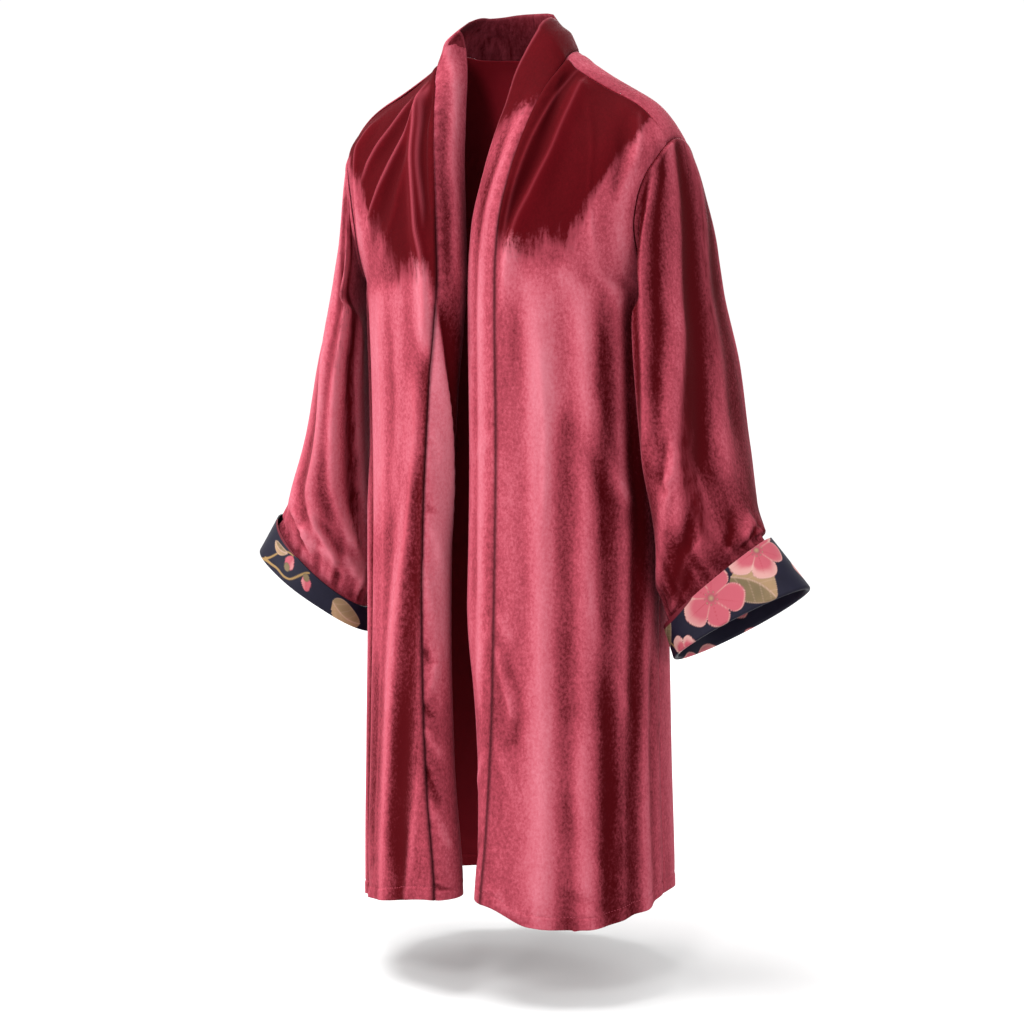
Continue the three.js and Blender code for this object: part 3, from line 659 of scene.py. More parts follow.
RIGHT = Side(
    name="right",
    sign=-1,
    seed=4.1,
    edge=Table(
        "z x",
        (-17, NECK_HALF),
        (-50, 61),
        (-104, 48),
        (-182, 39),
        (-240, 38),
        (-300, 43),
        (-373, 52),
        (-500, 60),
        (-612, 61),
        (-770, 55),
        (-920, 43),
    ),
    hem=Table("u z", (0, -912), (0.3, -924), (0.7, -936), (1, -946)),
    mouth={"x": 251, "y": -2, "z": -605, "out": 70, "deep": 48, "lift": 45, "nod": 4, "yaw": 0},
    lean=Table(
        "k x y z curl",
        (0, 0, -0.2, 1, 10),
        (0.25, 0.12, -0.26, 0.95, 14),
        (0.5, 0.27, -0.3, 0.9, 18),
        (0.8, 0.42, -0.28, 0.87, 34),
        (1, 0.54, -0.24, 0.64, 50),
        (1.1, 0.46, 0.2, 0.62, 50),
        (1.2, 0.42, 0.65, 0.5, 50),
        (1.4, 0.34, 0.9, 0.15, 50),
        (1.75, 0.3, 0.95, 0, 60),
        (2.2, 0.34, 0.94, 0, 90),
        (3, 0.36, 0.93, 0, 100),
    ),
    # painted highlight and painted shade: pale and dark bands with no fold under them
    front_naps=(
        Crease(((-245, 96), (-330, 94), (-450, 92), (-560, 96)), 0.4, 24, 0.0, (30, 80)),
        Crease(((-420, 100), (-620, 96), (-946, 100)), -0.35, 60, 0.0, (120, 10)),
        Crease(((-240, 60), (-300, 54), (-380, 52)), 0.4, 16, 0.0, (30, 60)),
        Crease(((-420, 12), (-520, 16), (-640, 30), (-760, 44), (-900, 56)), -0.7, 13, 0.0, (60, 40)),
        Crease(((-480, 134), (-620, 132), (-900, 140)), -0.3, 14, 0.0, (60, 60)),
        Crease(((-640, 92), (-760, 100), (-900, 112)), -0.5, 13, 0.0, (60, 60)),
        Crease(((-170, 196), (-240, 184), (-330, 176)), 0.5, 18, 0.0, (30, 60)),
    ),
    brushed=Table(
        "across foot",
        (0, -262),
        (12, -240),
        (33, -232),
        (64, -240),
        (84, -222),
        (102, -212),
        (130, -190),
        (147, -196),
        (165, -160),
        (185, -150),
        (204, -120),
        (230, -100),
    ),
    collar_brushed=-70.0,
    # painted highlight along the fold crests, strong on this side
    rims=0.9,
    # painted light that pales this whole sleeve
    sleeve_tone=0.12,
    sleeve_dark=Table("s turn", (0, 0.3), (0.25, 0.33), (0.5, 0.35), (0.7, 0.385), (0.85, 0.4)),
    front_creases=(
        Crease(
            ((-30, 18), (-67, 33), (-116, 39), (-189, 33), (-222, 22), (-290, 8), (-345, 3)),
            7.0, 10, 0.45, (24, 50),
        ),
        Crease(((-40, 6), (-90, 20), (-150, 20), (-220, 8)), -4.2, 8, 0.0, (24, 50)),
        Crease(((-46, 22), (-64, 33), (-102, 66), (-179, 150), (-205, 172)), 3.6, 6, -0.4, (16, 40)),
        Crease(((-52, 46), (-90, 76), (-150, 140)), -2.6, 9, 0.0, (20, 40)),
        Crease(((-48, 60), (-82, 92), (-131, 152), (-160, 184)), 3.2, 6, -0.4, (20, 40)),
        Crease(((-70, 150), (-110, 178), (-170, 196), (-230, 200)), 2.8, 6, -0.4, (20, 40)),
        Crease(((-36, 12), (-66, 26), (-120, 30), (-200, 22)), 2.4, 4, 0.3, (14, 40)),
        Crease(((-90, 50), (-150, 92), (-230, 150)), -2.4, 10, 0.0, (30, 50)),
        Crease(((-110, 52), (-170, 80), (-250, 120)), 1.8, 8, 0.0, (30, 50)),
        Crease(((-60, 130), (-96, 160), (-130, 196)), 1.8, 8, 0.0, (20, 30)),
        Crease(
            ((-320, 23), (-400, 15), (-463, 18), (-516, 24), (-589, 40), (-645, 51), (-718, 59), (-946, 83)),
            4, 14.3, 0.35, (70, 0),
        ),
        Crease(
            ((-300, 3), (-420, -1), (-520, 1), (-585, 11), (-711, 27), (-946, 51)),
            -3.6, 14.3, 0.0, (60, 0),
        ),
        Crease(((-215, 58), (-300, 50), (-376, 42), (-440, 46), (-520, 52)), 1.9, 11.7, 0.3, (60, 60)),
        Crease(((-230, 90), (-378, 82), (-554, 76), (-707, 84), (-946, 104)), 2.4, 15.6, 0.0, (80, 0)),
        Crease(((-260, 70), (-380, 64), (-520, 64), (-660, 72), (-946, 96)), -2.2, 13, 0.0, (70, 0)),
        Crease(((-228, 124), (-360, 114), (-489, 106), (-700, 112), (-946, 128)), 2.7, 15.6, 0.0, (80, 0)),
        Crease(((-250, 142), (-400, 132), (-600, 128), (-946, 148)), -3.2, 15.6, 0.0, (70, 0)),
        Crease(((-420, 165), (-600, 161), (-780, 169), (-946, 175)), 3.3, 18.2, 0.0, (90, 0)),
        Crease(((-560, 206), (-700, 202), (-946, 208)), -3.0, 11, 0.0, (90, 0)),
        Crease(((-760, 6), (-820, 16), (-880, 30), (-930, 40)), 2.0, 6, 0.3, (40, 20)),
        Crease(((-870, 96), (-900, 120), (-930, 128)), -1.4, 8, 0.0, (20, 12)),
    ),
    sleeve_creases=(
        Crease(
            (
                (-10, 66), (-90, 70), (-173, 52), (-267, 76), (-330, 82),
                (-365, 84), (-394, 98), (-425, 121), (-441, 143),
            ),
            4.3, 11.2, 0.35, (20, 10),
        ),
        Crease(((-40, 44), (-150, 28), (-260, 54), (-360, 62), (-420, 96)), -3.3, 12.5, 0.0, (30, 20)),
        Crease(
            ((-60, 100), (-145, 108), (-262, 108), (-349, 121), (-386, 136), (-425, 160)),
            3.6, 11.2, 0.3, (30, 16),
        ),
        Crease(((-40, 82), (-150, 90), (-270, 92), (-350, 102), (-410, 128)), -2.8, 10, 0.0, (30, 20)),
        Crease(((-90, 134), (-200, 138), (-310, 142), (-392, 156)), -3.4, 11.2, 0.0, (40, 20)),
        Crease(((-120, 160), (-257, 158), (-338, 168), (-410, 184)), 3, 12.5, 0.0, (40, 20)),
        Crease(((-20, 20), (-110, 2), (-230, 12), (-340, 30), (-420, 60)), 4.7, 15, -0.3, (20, 30)),
        Crease(((-40, -14), (-150, -26), (-270, -14), (-390, 10)), -3.9, 15, 0.0, (30, 30)),
        Crease(((-414, 84), (-429, 95), (-436, 120), (-443, 150)), 4.0, 6, 0.3, (8, 6)),
        Crease(((-404, 60), (-420, 76), (-448, 92)), -3.6, 6, 0.0, (14, 6)),
        Crease(((-396, 118), (-424, 134), (-452, 140)), -3.4, 6, 0.3, (16, 6)),
        Crease(((-400, 152), (-428, 166), (-456, 170)), 3.0, 6, -0.3, (16, 6)),
        Crease(((-60, 246), (-180, 254), (-300, 248), (-420, 258)), 3.9, 17.5, 0.3, (40, 50)),
        Crease(((-80, 280), (-190, 286), (-310, 282), (-430, 290)), -3.9, 16.2, 0.0, (40, 40)),
        Crease(((-40, 314), (-150, 322), (-290, 316), (-420, 326)), 4.3, 17.5, -0.3, (30, 50)),
        Crease(((-70, 350), (-190, 354), (-320, 352), (-430, 362)), -3.6, 16.2, 0.0, (40, 40)),
        Crease(((-384, 92), (-408, 106), (-430, 127), (-448, 142)), 5.0, 4.5, 0.4, (20, 6)),
        Crease(((-390, 108), (-415, 122), (-444, 150)), -4.0, 4.5, 0.0, (20, 6)),
        Crease(((-398, 62), (-418, 76), (-446, 100)), 4.4, 5, 0.3, (14, 6)),
        Crease(((-424, 134), (-438, 158), (-450, 182)), 4.4, 4.5, 0.3, (10, 6)),
        Crease(((-320, 224), (-380, 236), (-440, 256)), 2.7, 11.2, 0.3, (50, 16)),
        Crease(((-330, 296), (-390, 310), (-450, 306)), 2.7, 10, -0.3, (40, 12)),
    ),
    band_creases=(
        Crease(
            ((-60, 30), (-140, 27), (-216, 28), (-281, 24), (-337, 25), (-420, 20)),
            1.8, 8, 0.2, (40, 60),
        ),
        Crease(((-200, 12), (-300, 12), (-432, 14)), -1.2, 7, 0.0, (60, 60)),
        Crease(((-560, 8), (-588, 17), (-610, 20)), 1.4, 6, 0.3, (14, 14)),
        Crease(((-640, 4), (-654, 9), (-662, 24)), -1.8, 4, 0.2, (8, 8)),
        Crease(((-668, 6), (-690, 18), (-730, 22)), 1.5, 6, 0.3, (14, 30)),
        Crease(((-700, 2), (-750, 9), (-790, 20)), 1.2, 6, -0.2, (24, 30)),
        Crease(((-796, 4), (-816, 8), (-822, 20)), -2.0, 4, 0.0, (10, 6)),
        Crease(((-800, 20), (-836, 12), (-860, 4)), 1.4, 5, 0.2, (14, 14)),
        Crease(((-862, 0), (-868, 4), (-884, 14)), -1.5, 3.5, 0.0, (4, 10)),
        Crease(((-884, 0), (-896, 4), (-930, 19)), 1.6, 4.5, 0.3, (8, 16)),
        Crease(((-926, 0), (-950, 6), (-982, 15)), -1.6, 4.5, 0.0, (8, 20)),
        Crease(((-960, 2), (-1000, 14), (-1030, 24)), 1.2, 5, 0.0, (20, 20)),
        Crease(((-1054, 2), (-1061, 8), (-1066, 20)), -1.5, 3, 0.0, (4, 4)),
        Crease(((-1070, 4), (-1078, 12), (-1082, 22)), 1.2, 3, 0.0, (4, 4)),
        Crease(((-20, 20), (-60, 26), (-110, 22)), 1.2, 7, 0.0, (20, 40)),
        Crease(
            ((-400, -12), (-440, 0), (-488, 11), (-532, 22), (-588, 32), (-643, 39), (-709, 46)),
            5.0, 7, -0.62, (40, 90),
        ),
        Crease(((-420, 4), (-488, 19), (-532, 30), (-588, 41), (-643, 49)), -3.0, 6, 0.3, (40, 40)),
    ),
    # a band of painted shade and a band of painted highlight on the band's pile
    band_painted_light=(
        Crease(((-400, 22), (-488, 34), (-560, 45), (-620, 52)), -0.95, 14, 0.0, (110, 30)),
        Crease(((-470, 4), (-560, 14), (-640, 22), (-760, 24), (-900, 22)), 0.9, 18, 0.0, (60, 120)),
    ),
)

BACK_CREASES = (
    Crease(((-300, 40), (-460, 36), (-640, 34), (-946, 28)), 3.6, 14, 0.3, (90, 0)),
    Crease(((-210, 62), (-330, 66), (-520, 62), (-946, 56)), -3.4, 15, 0.0, (90, 0)),
    Crease(((-160, 70), (-280, 88), (-420, 92), (-700, 90), (-946, 86)), 3.8, 15, -0.3, (80, 0)),
    Crease(((-260, 112), (-400, 120), (-600, 118), (-946, 116)), -4.4, 17, 0.2, (110, 0)),
    Crease(((-190, 116), (-300, 138), (-480, 150), (-720, 150), (-946, 146)), 4.2, 16, 0.3, (90, 0)),
    Crease(((-380, 178), (-520, 184), (-700, 180), (-946, 176)), -3.6, 17, 0.0, (120, 0)),
    Crease(((-130, 196), (-260, 204), (-420, 208), (-600, 212), (-800, 208)), 2.8, 16, 0.0, (60, 120)),
    Crease(((-460, 236), (-620, 240), (-780, 238), (-946, 236)), -3.2, 20, -0.2, (140, 0)),
    Crease(((-170, 282), (-300, 274), (-470, 268), (-690, 270), (-946, 272)), 3.6, 17, 0.0, (90, 0)),
    Crease(((-330, 306), (-500, 300), (-740, 304), (-946, 306)), -4.0, 16, 0.2, (120, 0)),
    Crease(((-200, 348), (-330, 336), (-520, 332), (-760, 336), (-946, 340)), 4.4, 16, -0.3, (90, 0)),
    Crease(((-260, 372), (-420, 364), (-640, 366), (-946, 372)), -4.0, 15, 0.0, (100, 0)),
    Crease(((-150, 408), (-280, 396), (-450, 392), (-700, 398), (-946, 404)), 3.8, 14, 0.3, (80, 0)),
    Crease(((-290, 432), (-460, 424), (-660, 430), (-946, 436)), -3.2, 13, 0.0, (90, 0)),
    Crease(((-330, 452), (-520, 450), (-946, 456)), 3.0, 12, 0.0, (110, 0)),
    Crease(((-90, 110), (-150, 90), (-220, 66)), 2.2, 9, 0.0, (40, 50)),
    Crease(((-96, 366), (-160, 388), (-230, 414)), 2.4, 9, 0.0, (40, 50)),
    Crease(((-110, 140), (-190, 112), (-270, 88)), -2.0, 10, 0.0, (40, 60)),
    Crease(((-112, 342), (-196, 366), (-280, 392)), -2.2, 10, 0.0, (40, 60)),
    Crease(((-560, 96), (-640, 128), (-720, 168)), 1.8, 10, 0.0, (50, 60)),
    Crease(((-640, 392), (-720, 362), (-800, 318)), 1.8, 10, 0.0, (50, 60)),
    Crease(((-860, 64), (-900, 92), (-930, 130)), -1.6, 9, 0.0, (20, 16)),
    Crease(((-850, 318), (-896, 340), (-926, 372)), 1.6, 9, 0.0, (20, 16)),
)

# Painted highlight and painted shade on the back: pale and dark bands with no fold under them.
BACK_PAINTED_LIGHT = (
    Crease(((-60, 150), (-160, 170), (-300, 190)), 0.4, 30, 0.0, (40, 90)),
    Crease(((-50, 330), (-150, 312), (-260, 300)), 0.35, 28, 0.0, (40, 90)),
    Crease(((-240, 236), (-420, 240), (-620, 238)), -0.45, 22, 0.0, (80, 120)),
    Crease(((-400, 92), (-600, 92), (-900, 84)), 0.35, 20, 0.0, (80, 90)),
    Crease(((-500, 336), (-700, 340), (-900, 344)), 0.35, 20, 0.0, (80, 90)),
    Crease(((-300, 430), (-520, 424), (-800, 430)), -0.35, 16, 0.0, (80, 90)),
    Crease(((-300, 52), (-520, 50), (-800, 44)), -0.35, 16, 0.0, (80, 90)),
)


def spaced(count: int, ends: float = 0.0) -> Array:
    """Shares from 0 to 1, closer together towards both ends.

    Args:
        count: How many spaces there are.
        ends: How much closer they are, from 0 for even ones to 1.

    Returns:
        An array of count + 1 shares.
    """
    t = np.linspace(0.0, 1.0, count + 1)
    return mix(t, 0.5 - 0.5 * np.cos(np.pi * t), ends)


def body_rows(upper: int, lower: int) -> Array:
    """Rows of a body panel, from the shoulder to the hem, closer together in the turned-up hem."""
    fine = HEM_REACH * (HEM_DEPTH / SKIRT_LENGTH)
    skirt = 1 + spaced(lower) * (1 - fine)
    return np.concatenate([spaced(upper), skirt[1:], 2 - fine * (1 - spaced(HEM_ROWS)[1:])])


@dataclass(frozen=True)
class Hem:
    """The turned-up hem: a line of stitches, and the doubled cloth below it."""

    line: float = 14.0  # height of the stitches over the edge
    wander: float = 0.8  # of that line
    wander_by: float = 23.0
    doubled: float = 0.5  # how far the doubled cloth stands out
    doubled_by: float = 3.0
    pull: float = 0.3  # of the gathers along the line
    pulled_half: float = 7.0
    groove_half: float = 1.5
    seed: float = 0.4

    def relief(self, rise: Array, across: Array) -> Array:
        """How far the cloth moves out.

        Args:
            rise: The height over the hem's edge.
            across: The place across the piece.

        Returns:
            The movement in mm.
        """
        over = rise - (self.line + self.wander * np.sin(across / self.wander_by))
        below = self.doubled * (1 - ease(over / self.doubled_by))
        pulled = self.pull * puckers(across, self.seed) * bump(over, self.pulled_half)
        return below - SEAM_DEPTH * bump(over, self.groove_half) + pulled


HEM = Hem()


@dataclass(frozen=True)
class Sewing:
    """The stitches that hold the turned-up hems, each a slim closed bar of a few four-sided rings."""

    pitch: float = 3.4
    length: float = 2.3
    thick: float = 0.6
    first: float = 2.0  # place of the first stitch
    rings: tuple[float, ...] = (0.0, 0.25, 0.75, 1.0)  # shares of the length
    taper: tuple[float, ...] = (0.35, 1.0, 1.0, 0.35)  # shares of the thickness, for each ring
    lift: tuple[float, ...] = (-0.25, 0.15, 0.15, -0.25)  # height over the cloth, for each ring

    def faces(self) -> Array:
        """The four corners of each face of a stitch."""
        last = 4 * (len(self.rings) - 1)
        ends = [(3, 2, 1, 0), (last, last + 1, last + 2, last + 3)]
        sides = []
        for ring in range(0, last, 4):
            for corner in range(4):
                a, b = ring + corner, ring + (corner + 1) % 4
                sides.append((a, b, b + 4, a + 4))
        return np.array(sides + ends)

    def row(self, path: Array, out: Array) -> tuple[Array, Array]:
        """A row of stitches.

        Args:
            path: Points along the line, n by 3.
            out: The direction out of the cloth at each.

        Returns:
            Their points, and their faces' four corners each.
        """
        gone, faces = lengths(path), self.faces()
        wide = (self.thick / 2 * np.array(self.taper))[:, None]
        verts, quads = [], []
        for start in np.arange(self.first, gone[-1] - self.pitch, self.pitch):
            places = start + np.array(self.rings) * self.length
            at = np.stack([np.interp(places, gone, path[:, i]) for i in range(3)], axis=1)
            up = np.stack([np.interp(places, gone, out[:, i]) for i in range(3)], axis=1)
            side = unit(np.cross(np.gradient(at, axis=0), up))
            middle = at + up * np.array(self.lift)[:, None]
            ring = [middle + side * wide, middle + up * wide, middle - side * wide, middle - up * wide]
            quads.append(faces + 4 * len(self.rings) * len(verts))
            verts.append(np.stack(ring, axis=1).reshape(-1, 3))
        return np.concatenate(verts), np.concatenate(quads)


def placed(name: str, data: bpy.types.ID) -> bpy.types.Object:
    """A new object in the scene that shows a mesh, a light or a camera."""
    made = bpy.data.objects.new(name, data)
    bpy.context.scene.collection.objects.link(made)
    return made


@dataclass
class Cloth:
    """A closed shell of cloth made from grids of points, with what its finish needs at each."""

    name: str
    verts: Array
    quads: Array
    marks: dict[str, Array] = field(default_factory=dict)

    @classmethod
    def shell(cls, name: str, outer: Array, inner: Array, ring: bool, marks: dict[str, Array]) -> "Cloth":
        """Closes two skins round their rims.

        Args:
            name: The piece's name.
            outer: The outer skin, rows by columns by 3.
            inner: The inner skin, of the same shape.
            ring: Whether the last column meets the first.
            marks: Numbers at the outer skin's points, by name. The inner skin takes the same ones.

        Returns:
            The shell.
        """
        rows, columns = outer.shape[:2]
        number = np.arange(rows * columns).reshape(rows, columns)
        wrapped = np.concatenate([number, number[:, :1]], axis=1) if ring else number
        a, b = wrapped[:-1, :-1].ravel(), wrapped[:-1, 1:].ravel()
        c, d = wrapped[1:, 1:].ravel(), wrapped[1:, :-1].ravel()
        skip = rows * columns
        quads = [np.stack([a, b, c, d], 1), np.stack([a, d, c, b], 1) + skip]
        top, foot = wrapped[0], wrapped[-1]
        quads.append(np.stack([top[:-1], top[:-1] + skip, top[1:] + skip, top[1:]], 1))
        quads.append(np.stack([foot[:-1], foot[1:], foot[1:] + skip, foot[:-1] + skip], 1))
        if not ring:
            left, right = number[:, 0], number[:, -1]
            quads.append(np.stack([left[:-1], left[1:], left[1:] + skip, left[:-1] + skip], 1))
            quads.append(np.stack([right[:-1], right[:-1] + skip, right[1:] + skip, right[1:]], 1))
        both = {key: np.concatenate([value.ravel()] * 2) for key, value in marks.items()}
        both["inside"] = np.concatenate([np.zeros(skip), np.ones(skip)])
        verts = np.concatenate([outer.reshape(-1, 3), inner.reshape(-1, 3)])
        return cls(name, verts, np.concatenate(quads), both)

    def sew_hem(self, skin: Array, out: Array, hem: Array) -> None:
        """Adds the hem's row of stitches.

        Args:
            skin: The outer skin, rows by columns by 3.
            out: The direction out of the cloth, at the same points.
            hem: The height of the hem's edge at each point.
        """
        row = np.argmin(np.abs(skin[..., 2] - hem - HEM.line), axis=0)
        column = np.arange(len(row))
        verts, quads = Sewing().row(skin[row, column], out[row, column])
        if volume_of(verts, quads) * volume_of(self.verts, self.quads) < 0:
            quads = quads[:, ::-1]
        self.quads = np.concatenate([self.quads, quads + len(self.verts)])
        self.verts = np.concatenate([self.verts, verts])
        for key, value in self.marks.items():
            added = {"crest": THREAD_CREST, "brushed": UNBRUSHED}.get(key, 0.0)
            self.marks[key] = np.concatenate([value, np.full(len(verts), added)])

    def piece(self, finish: bpy.types.Material) -> bpy.types.Object:
        """Makes the Blender object, its faces outward.

        Args:
            finish: Its material.

        Returns:
            The object, smooth shaded.
        """
        verts = self.verts * MM
        quads = self.quads
        if volume_of(verts, quads) < 0:
            quads = quads[:, ::-1]
        mesh = bpy.data.meshes.new(self.name)
        mesh.vertices.add(len(verts))
        mesh.vertices.foreach_set("co", verts.astype(np.float32).ravel())
        mesh.loops.add(quads.size)
        mesh.loops.foreach_set("vertex_index", quads.astype(np.int32).ravel())
        mesh.polygons.add(len(quads))
        mesh.polygons.foreach_set("loop_start", np.arange(0, quads.size, 4, dtype=np.int32))
        mesh.update(calc_edges=True)
        mesh.validate()
        mesh.polygons.foreach_set("use_smooth", np.ones(len(mesh.polygons), bool))
        for key, value in self.marks.items():
            layer = mesh.attributes.new(key, "FLOAT", "POINT")
            layer.data.foreach_set("value", value.astype(np.float32))
        mesh.materials.append(finish)
        return placed(self.name, mesh)


class Value:
    """A number in a node tree, on which Python's operators add Math nodes."""

    def __init__(self, shader: "Shader", socket: bpy.types.NodeSocket) -> None:
        """Wraps a socket of a shader's tree."""
        self.shader = shader
        self.socket = socket

    def _math(self, operation: str, first: "Number", second: "Number") -> "Value":
        """Adds one Math node.

        Args:
            operation: The node's operation.
            first: Its first value.
            second: Its second value.

        Returns:
            The node's result.
        """
        node = self.shader.node("ShaderNodeMath", {"operation": operation}, {0: first, 1: second})
        return Value(self.shader, node.outputs[0])

    def __add__(self, other: "Number") -> "Value":
        """Sum."""
        return self._math("ADD", self, other)

    __radd__ = __add__

    def __mul__(self, other: "Number") -> "Value":
        """Product."""
        return self._math("MULTIPLY", self, other)

    __rmul__ = __mul__

    def __sub__(self, other: "Number") -> "Value":
        """Difference."""
        return self._math("SUBTRACT", self, other)

    def __rsub__(self, other: "Number") -> "Value":
        """Difference from a number."""
        return self._math("SUBTRACT", other, self)

    def steps(self, low: float, high: float) -> "Value":
        """A smooth step, 0 at low and 1 at high."""
        settings = {"interpolation_type": "SMOOTHSTEP"}
        sockets = {"Value": self, "From Min": low, "From Max": high}
        return Value(self.shader, self.shader.node("ShaderNodeMapRange", settings, sockets).outputs[0])


Number = Union[float, Value]
Paint = Union[Colour, bpy.types.NodeSocket]


class Shader:
    """The node tree of one finish, round one Principled shader."""

    def __init__(self, name: str) -> None:
        """Starts a material."""
        self.material = bpy.data.materials.new(name)
        self.material.use_nodes = True
        self.tree = self.material.node_tree
        self.surface = self.tree.nodes["Principled BSDF"]

    def node(
        self, kind: str, settings: Optional[dict[str, object]] = None, sockets: Optional[dict] = None
    ) -> bpy.types.Node:
        """Adds a node.

        Args:
            kind: Its Blender type.
            settings: Its own settings, set before its sockets.
            sockets: Values or links of its inputs, by name or number.

        Returns:
            The node.
        """
        made = self.tree.nodes.new(kind)
        for key, value in (settings or {}).items():
            setattr(made, key, value)
        for key, value in (sockets or {}).items():
            self.feed(made.inputs[key], value)
        return made

    def feed(self, socket: bpy.types.NodeSocket, value: object) -> None:
        """Sets or links one input.

        Args:
            socket: The input.
            value: A number, a colour, a vector, a Value or a socket.
        """
        if isinstance(value, Value):
            value = value.socket
        if isinstance(value, bpy.types.NodeSocket):
            self.tree.links.new(value, socket)
        elif isinstance(value, tuple) and socket.type == "RGBA":
            socket.default_value = (*value, 1.0)
        else:
            socket.default_value = value

    def mark(self, name: str) -> Value:
        """A number that the mesh holds at each point."""
        node = self.node("ShaderNodeAttribute", {"attribute_name": name})
        return Value(self, node.outputs["Fac"])

    def noise(self, scale: Triple, detail: float, rough: float) -> Value:
        """Noise in the robe's own frame.

        Args:
            scale: Triple to a metre along X, Y and Z.
            detail: Octaves.
            rough: How much the finer ones count.

        Returns:
            Values about 0.5.
        """
        place = self.node("ShaderNodeTexCoord").outputs["Object"]
        settings = {"operation": "MULTIPLY"}
        scaled = self.node("ShaderNodeVectorMath", settings, {0: place, 1: scale}).outputs[0]
        sockets = {"Vector": scaled, "Scale": 1.0, "Detail": detail, "Roughness": rough}
        return Value(self, self.node("ShaderNodeTexNoise", None, sockets).outputs["Fac"])

    @staticmethod
    def weighed(noises: Sequence[Value], weights: Sequence[float]) -> Value:
        """Several noises together, about 0."""
        first, *others = ((noise - 0.5) * weight for noise, weight in zip(noises, weights))
        for other in others:
            first = first + other
        return first

    def blend(self, share: Number, first: Paint, second: Paint) -> bpy.types.NodeSocket:
        """A colour between two.

        Args:
            share: 0 for the first and 1 for the second.
            first: A colour or a link.
            second: A colour or a link.

        Returns:
            The mixed colour's socket.
        """
        # The node's sockets for numbers, vectors and colours share their names, so these go by number.
        node = self.node("ShaderNodeMix", {"data_type": "RGBA"}, {0: share, 6: first, 7: second})
        return node.outputs[2]

    def raise_by(self, height: Value, distance: float, strength: float) -> None:
        """Feeds the shader's normal from a height.

        Args:
            height: The height, 0 to 1.
            distance: What 1 is, in metres.
            strength: The share of it that shows.
        """
        sockets = {"Height": height, "Distance": distance, "Strength": strength}
        self.feed(self.surface.inputs["Normal"], self.node("ShaderNodeBump", None, sockets).outputs[0])

    def constants(self, **values: object) -> None:
        """Sets the shader's own sockets, whose names have underscores for spaces here."""
        for key, value in values.items():
            self.feed(self.surface.inputs[key.replace("_", " ")], value)


@dataclass(frozen=True)
class Velvet:
    """Stretch velvet: a rose pile that turns deep crimson where it is brushed down, with painted shade in the
    troughs of its folds, painted highlights on their crests and near black painted shade in grooves and
    hollows.
    """

    rose: Colour = (0.29, 0.043, 0.065)
    # painted highlight on the folds' crests, and pale patches at random
    bright: Colour = (0.42, 0.128, 0.163)
    # the brushed pile's own colour, and the painted shade in the folds' troughs
    crimson: Colour = (0.044, 0.0007, 0.002)
    reverse: Colour = (0.36, 0.017, 0.03)
    # near black painted shade, where the shade mark is set
    deep: Colour = (0.008, 0.0004, 0.0008)
    sheen: Colour = (1.0, 0.32, 0.4)
    # painted highlight on the crests in the brushed pile, mixed with random tone
    flush: Colour = (0.078, 0.0016, 0.004)
    # painted highlight along the crests of high folds
    rim: Colour = (0.36, 0.06, 0.085)
    nap: Triple = (360, 360, 280)  # waves to a metre along X, Y and Z, as in the next four
    mottle: Triple = (90, 90, 34)
    patch: Triple = (17, 17, 3.6)
    streak: Triple = (150, 150, 26)
    grain: Triple = (900, 900, 700)
    edge_weights: Triple = (2.0, 1.2, 1.4)  # of streak, mottle and nap, in the brushed pile's ragged edge
    tone_weights: Triple = (1.1, 0.4, 1.15)  # of patch, mottle and nap, in the pile's tone
    ragged: Span = (-0.6, 0.6)
    # spans of crest mark and tone: painted shade to rose, rose to painted highlight, brushed pile to its
    # painted highlight
    to_rose: Span = (-0.8, 0.45)
    to_bright: Span = (0.0, 1.1)
    to_flush: Span = (-0.5, 0.9)
    bright_most: float = 0.85
    flush_most: float = 0.8
    pile_height: float = 0.0008  # in metres

    def material(self) -> bpy.types.Material:
        """Builds the finish.

        Returns:
            The material.
        """
        shader = Shader("velvet")
        nap = shader.noise(self.nap, 3.0, 0.7)
        mottle = shader.noise(self.mottle, 3.0, 0.55)
        patch = shader.noise(self.patch, 3.0, 0.5)
        streak = shader.noise(self.streak, 4.0, 0.7)
        edge = shader.weighed((streak, mottle, nap), self.edge_weights)
        brushed = (shader.mark("brushed") + edge).steps(*self.ragged)
        # the crest mark is the folds' painted light and shade; the noises add random tone
        height = shader.mark("crest") + shader.weighed((patch, mottle, nap), self.tone_weights)
        pile = shader.blend(height.steps(*self.to_rose), self.crimson, self.rose)
        pile = shader.blend(height.steps(*self.to_bright) * self.bright_most, pile, self.bright)
        crushed = shader.blend(height.steps(*self.to_flush) * self.flush_most, self.crimson, self.flush)
        pile = shader.blend(brushed, pile, crushed)
        # painted highlight along high fold crests
        pile = shader.blend(shader.mark("rim") * (0.4 + patch * 0.2), pile, self.rim)
        pile = shader.blend(shader.mark("inside"), pile, self.reverse)
        # painted shade, near black
        pile = shader.blend(shader.mark("shade"), pile, self.deep)
        shader.feed(shader.surface.inputs["Base Color"], pile)
        grain = shader.noise(self.grain, 2.0, 0.6)
        shader.raise_by(grain * 0.6 + nap * 0.4, self.pile_height, 0.4)
        shader.constants(
            Roughness=0.8,
            Specular_IOR_Level=0.03,
            Sheen_Weight=0.07,
            Sheen_Roughness=0.3,
            Sheen_Tint=self.sheen,
        )
        return shader.material


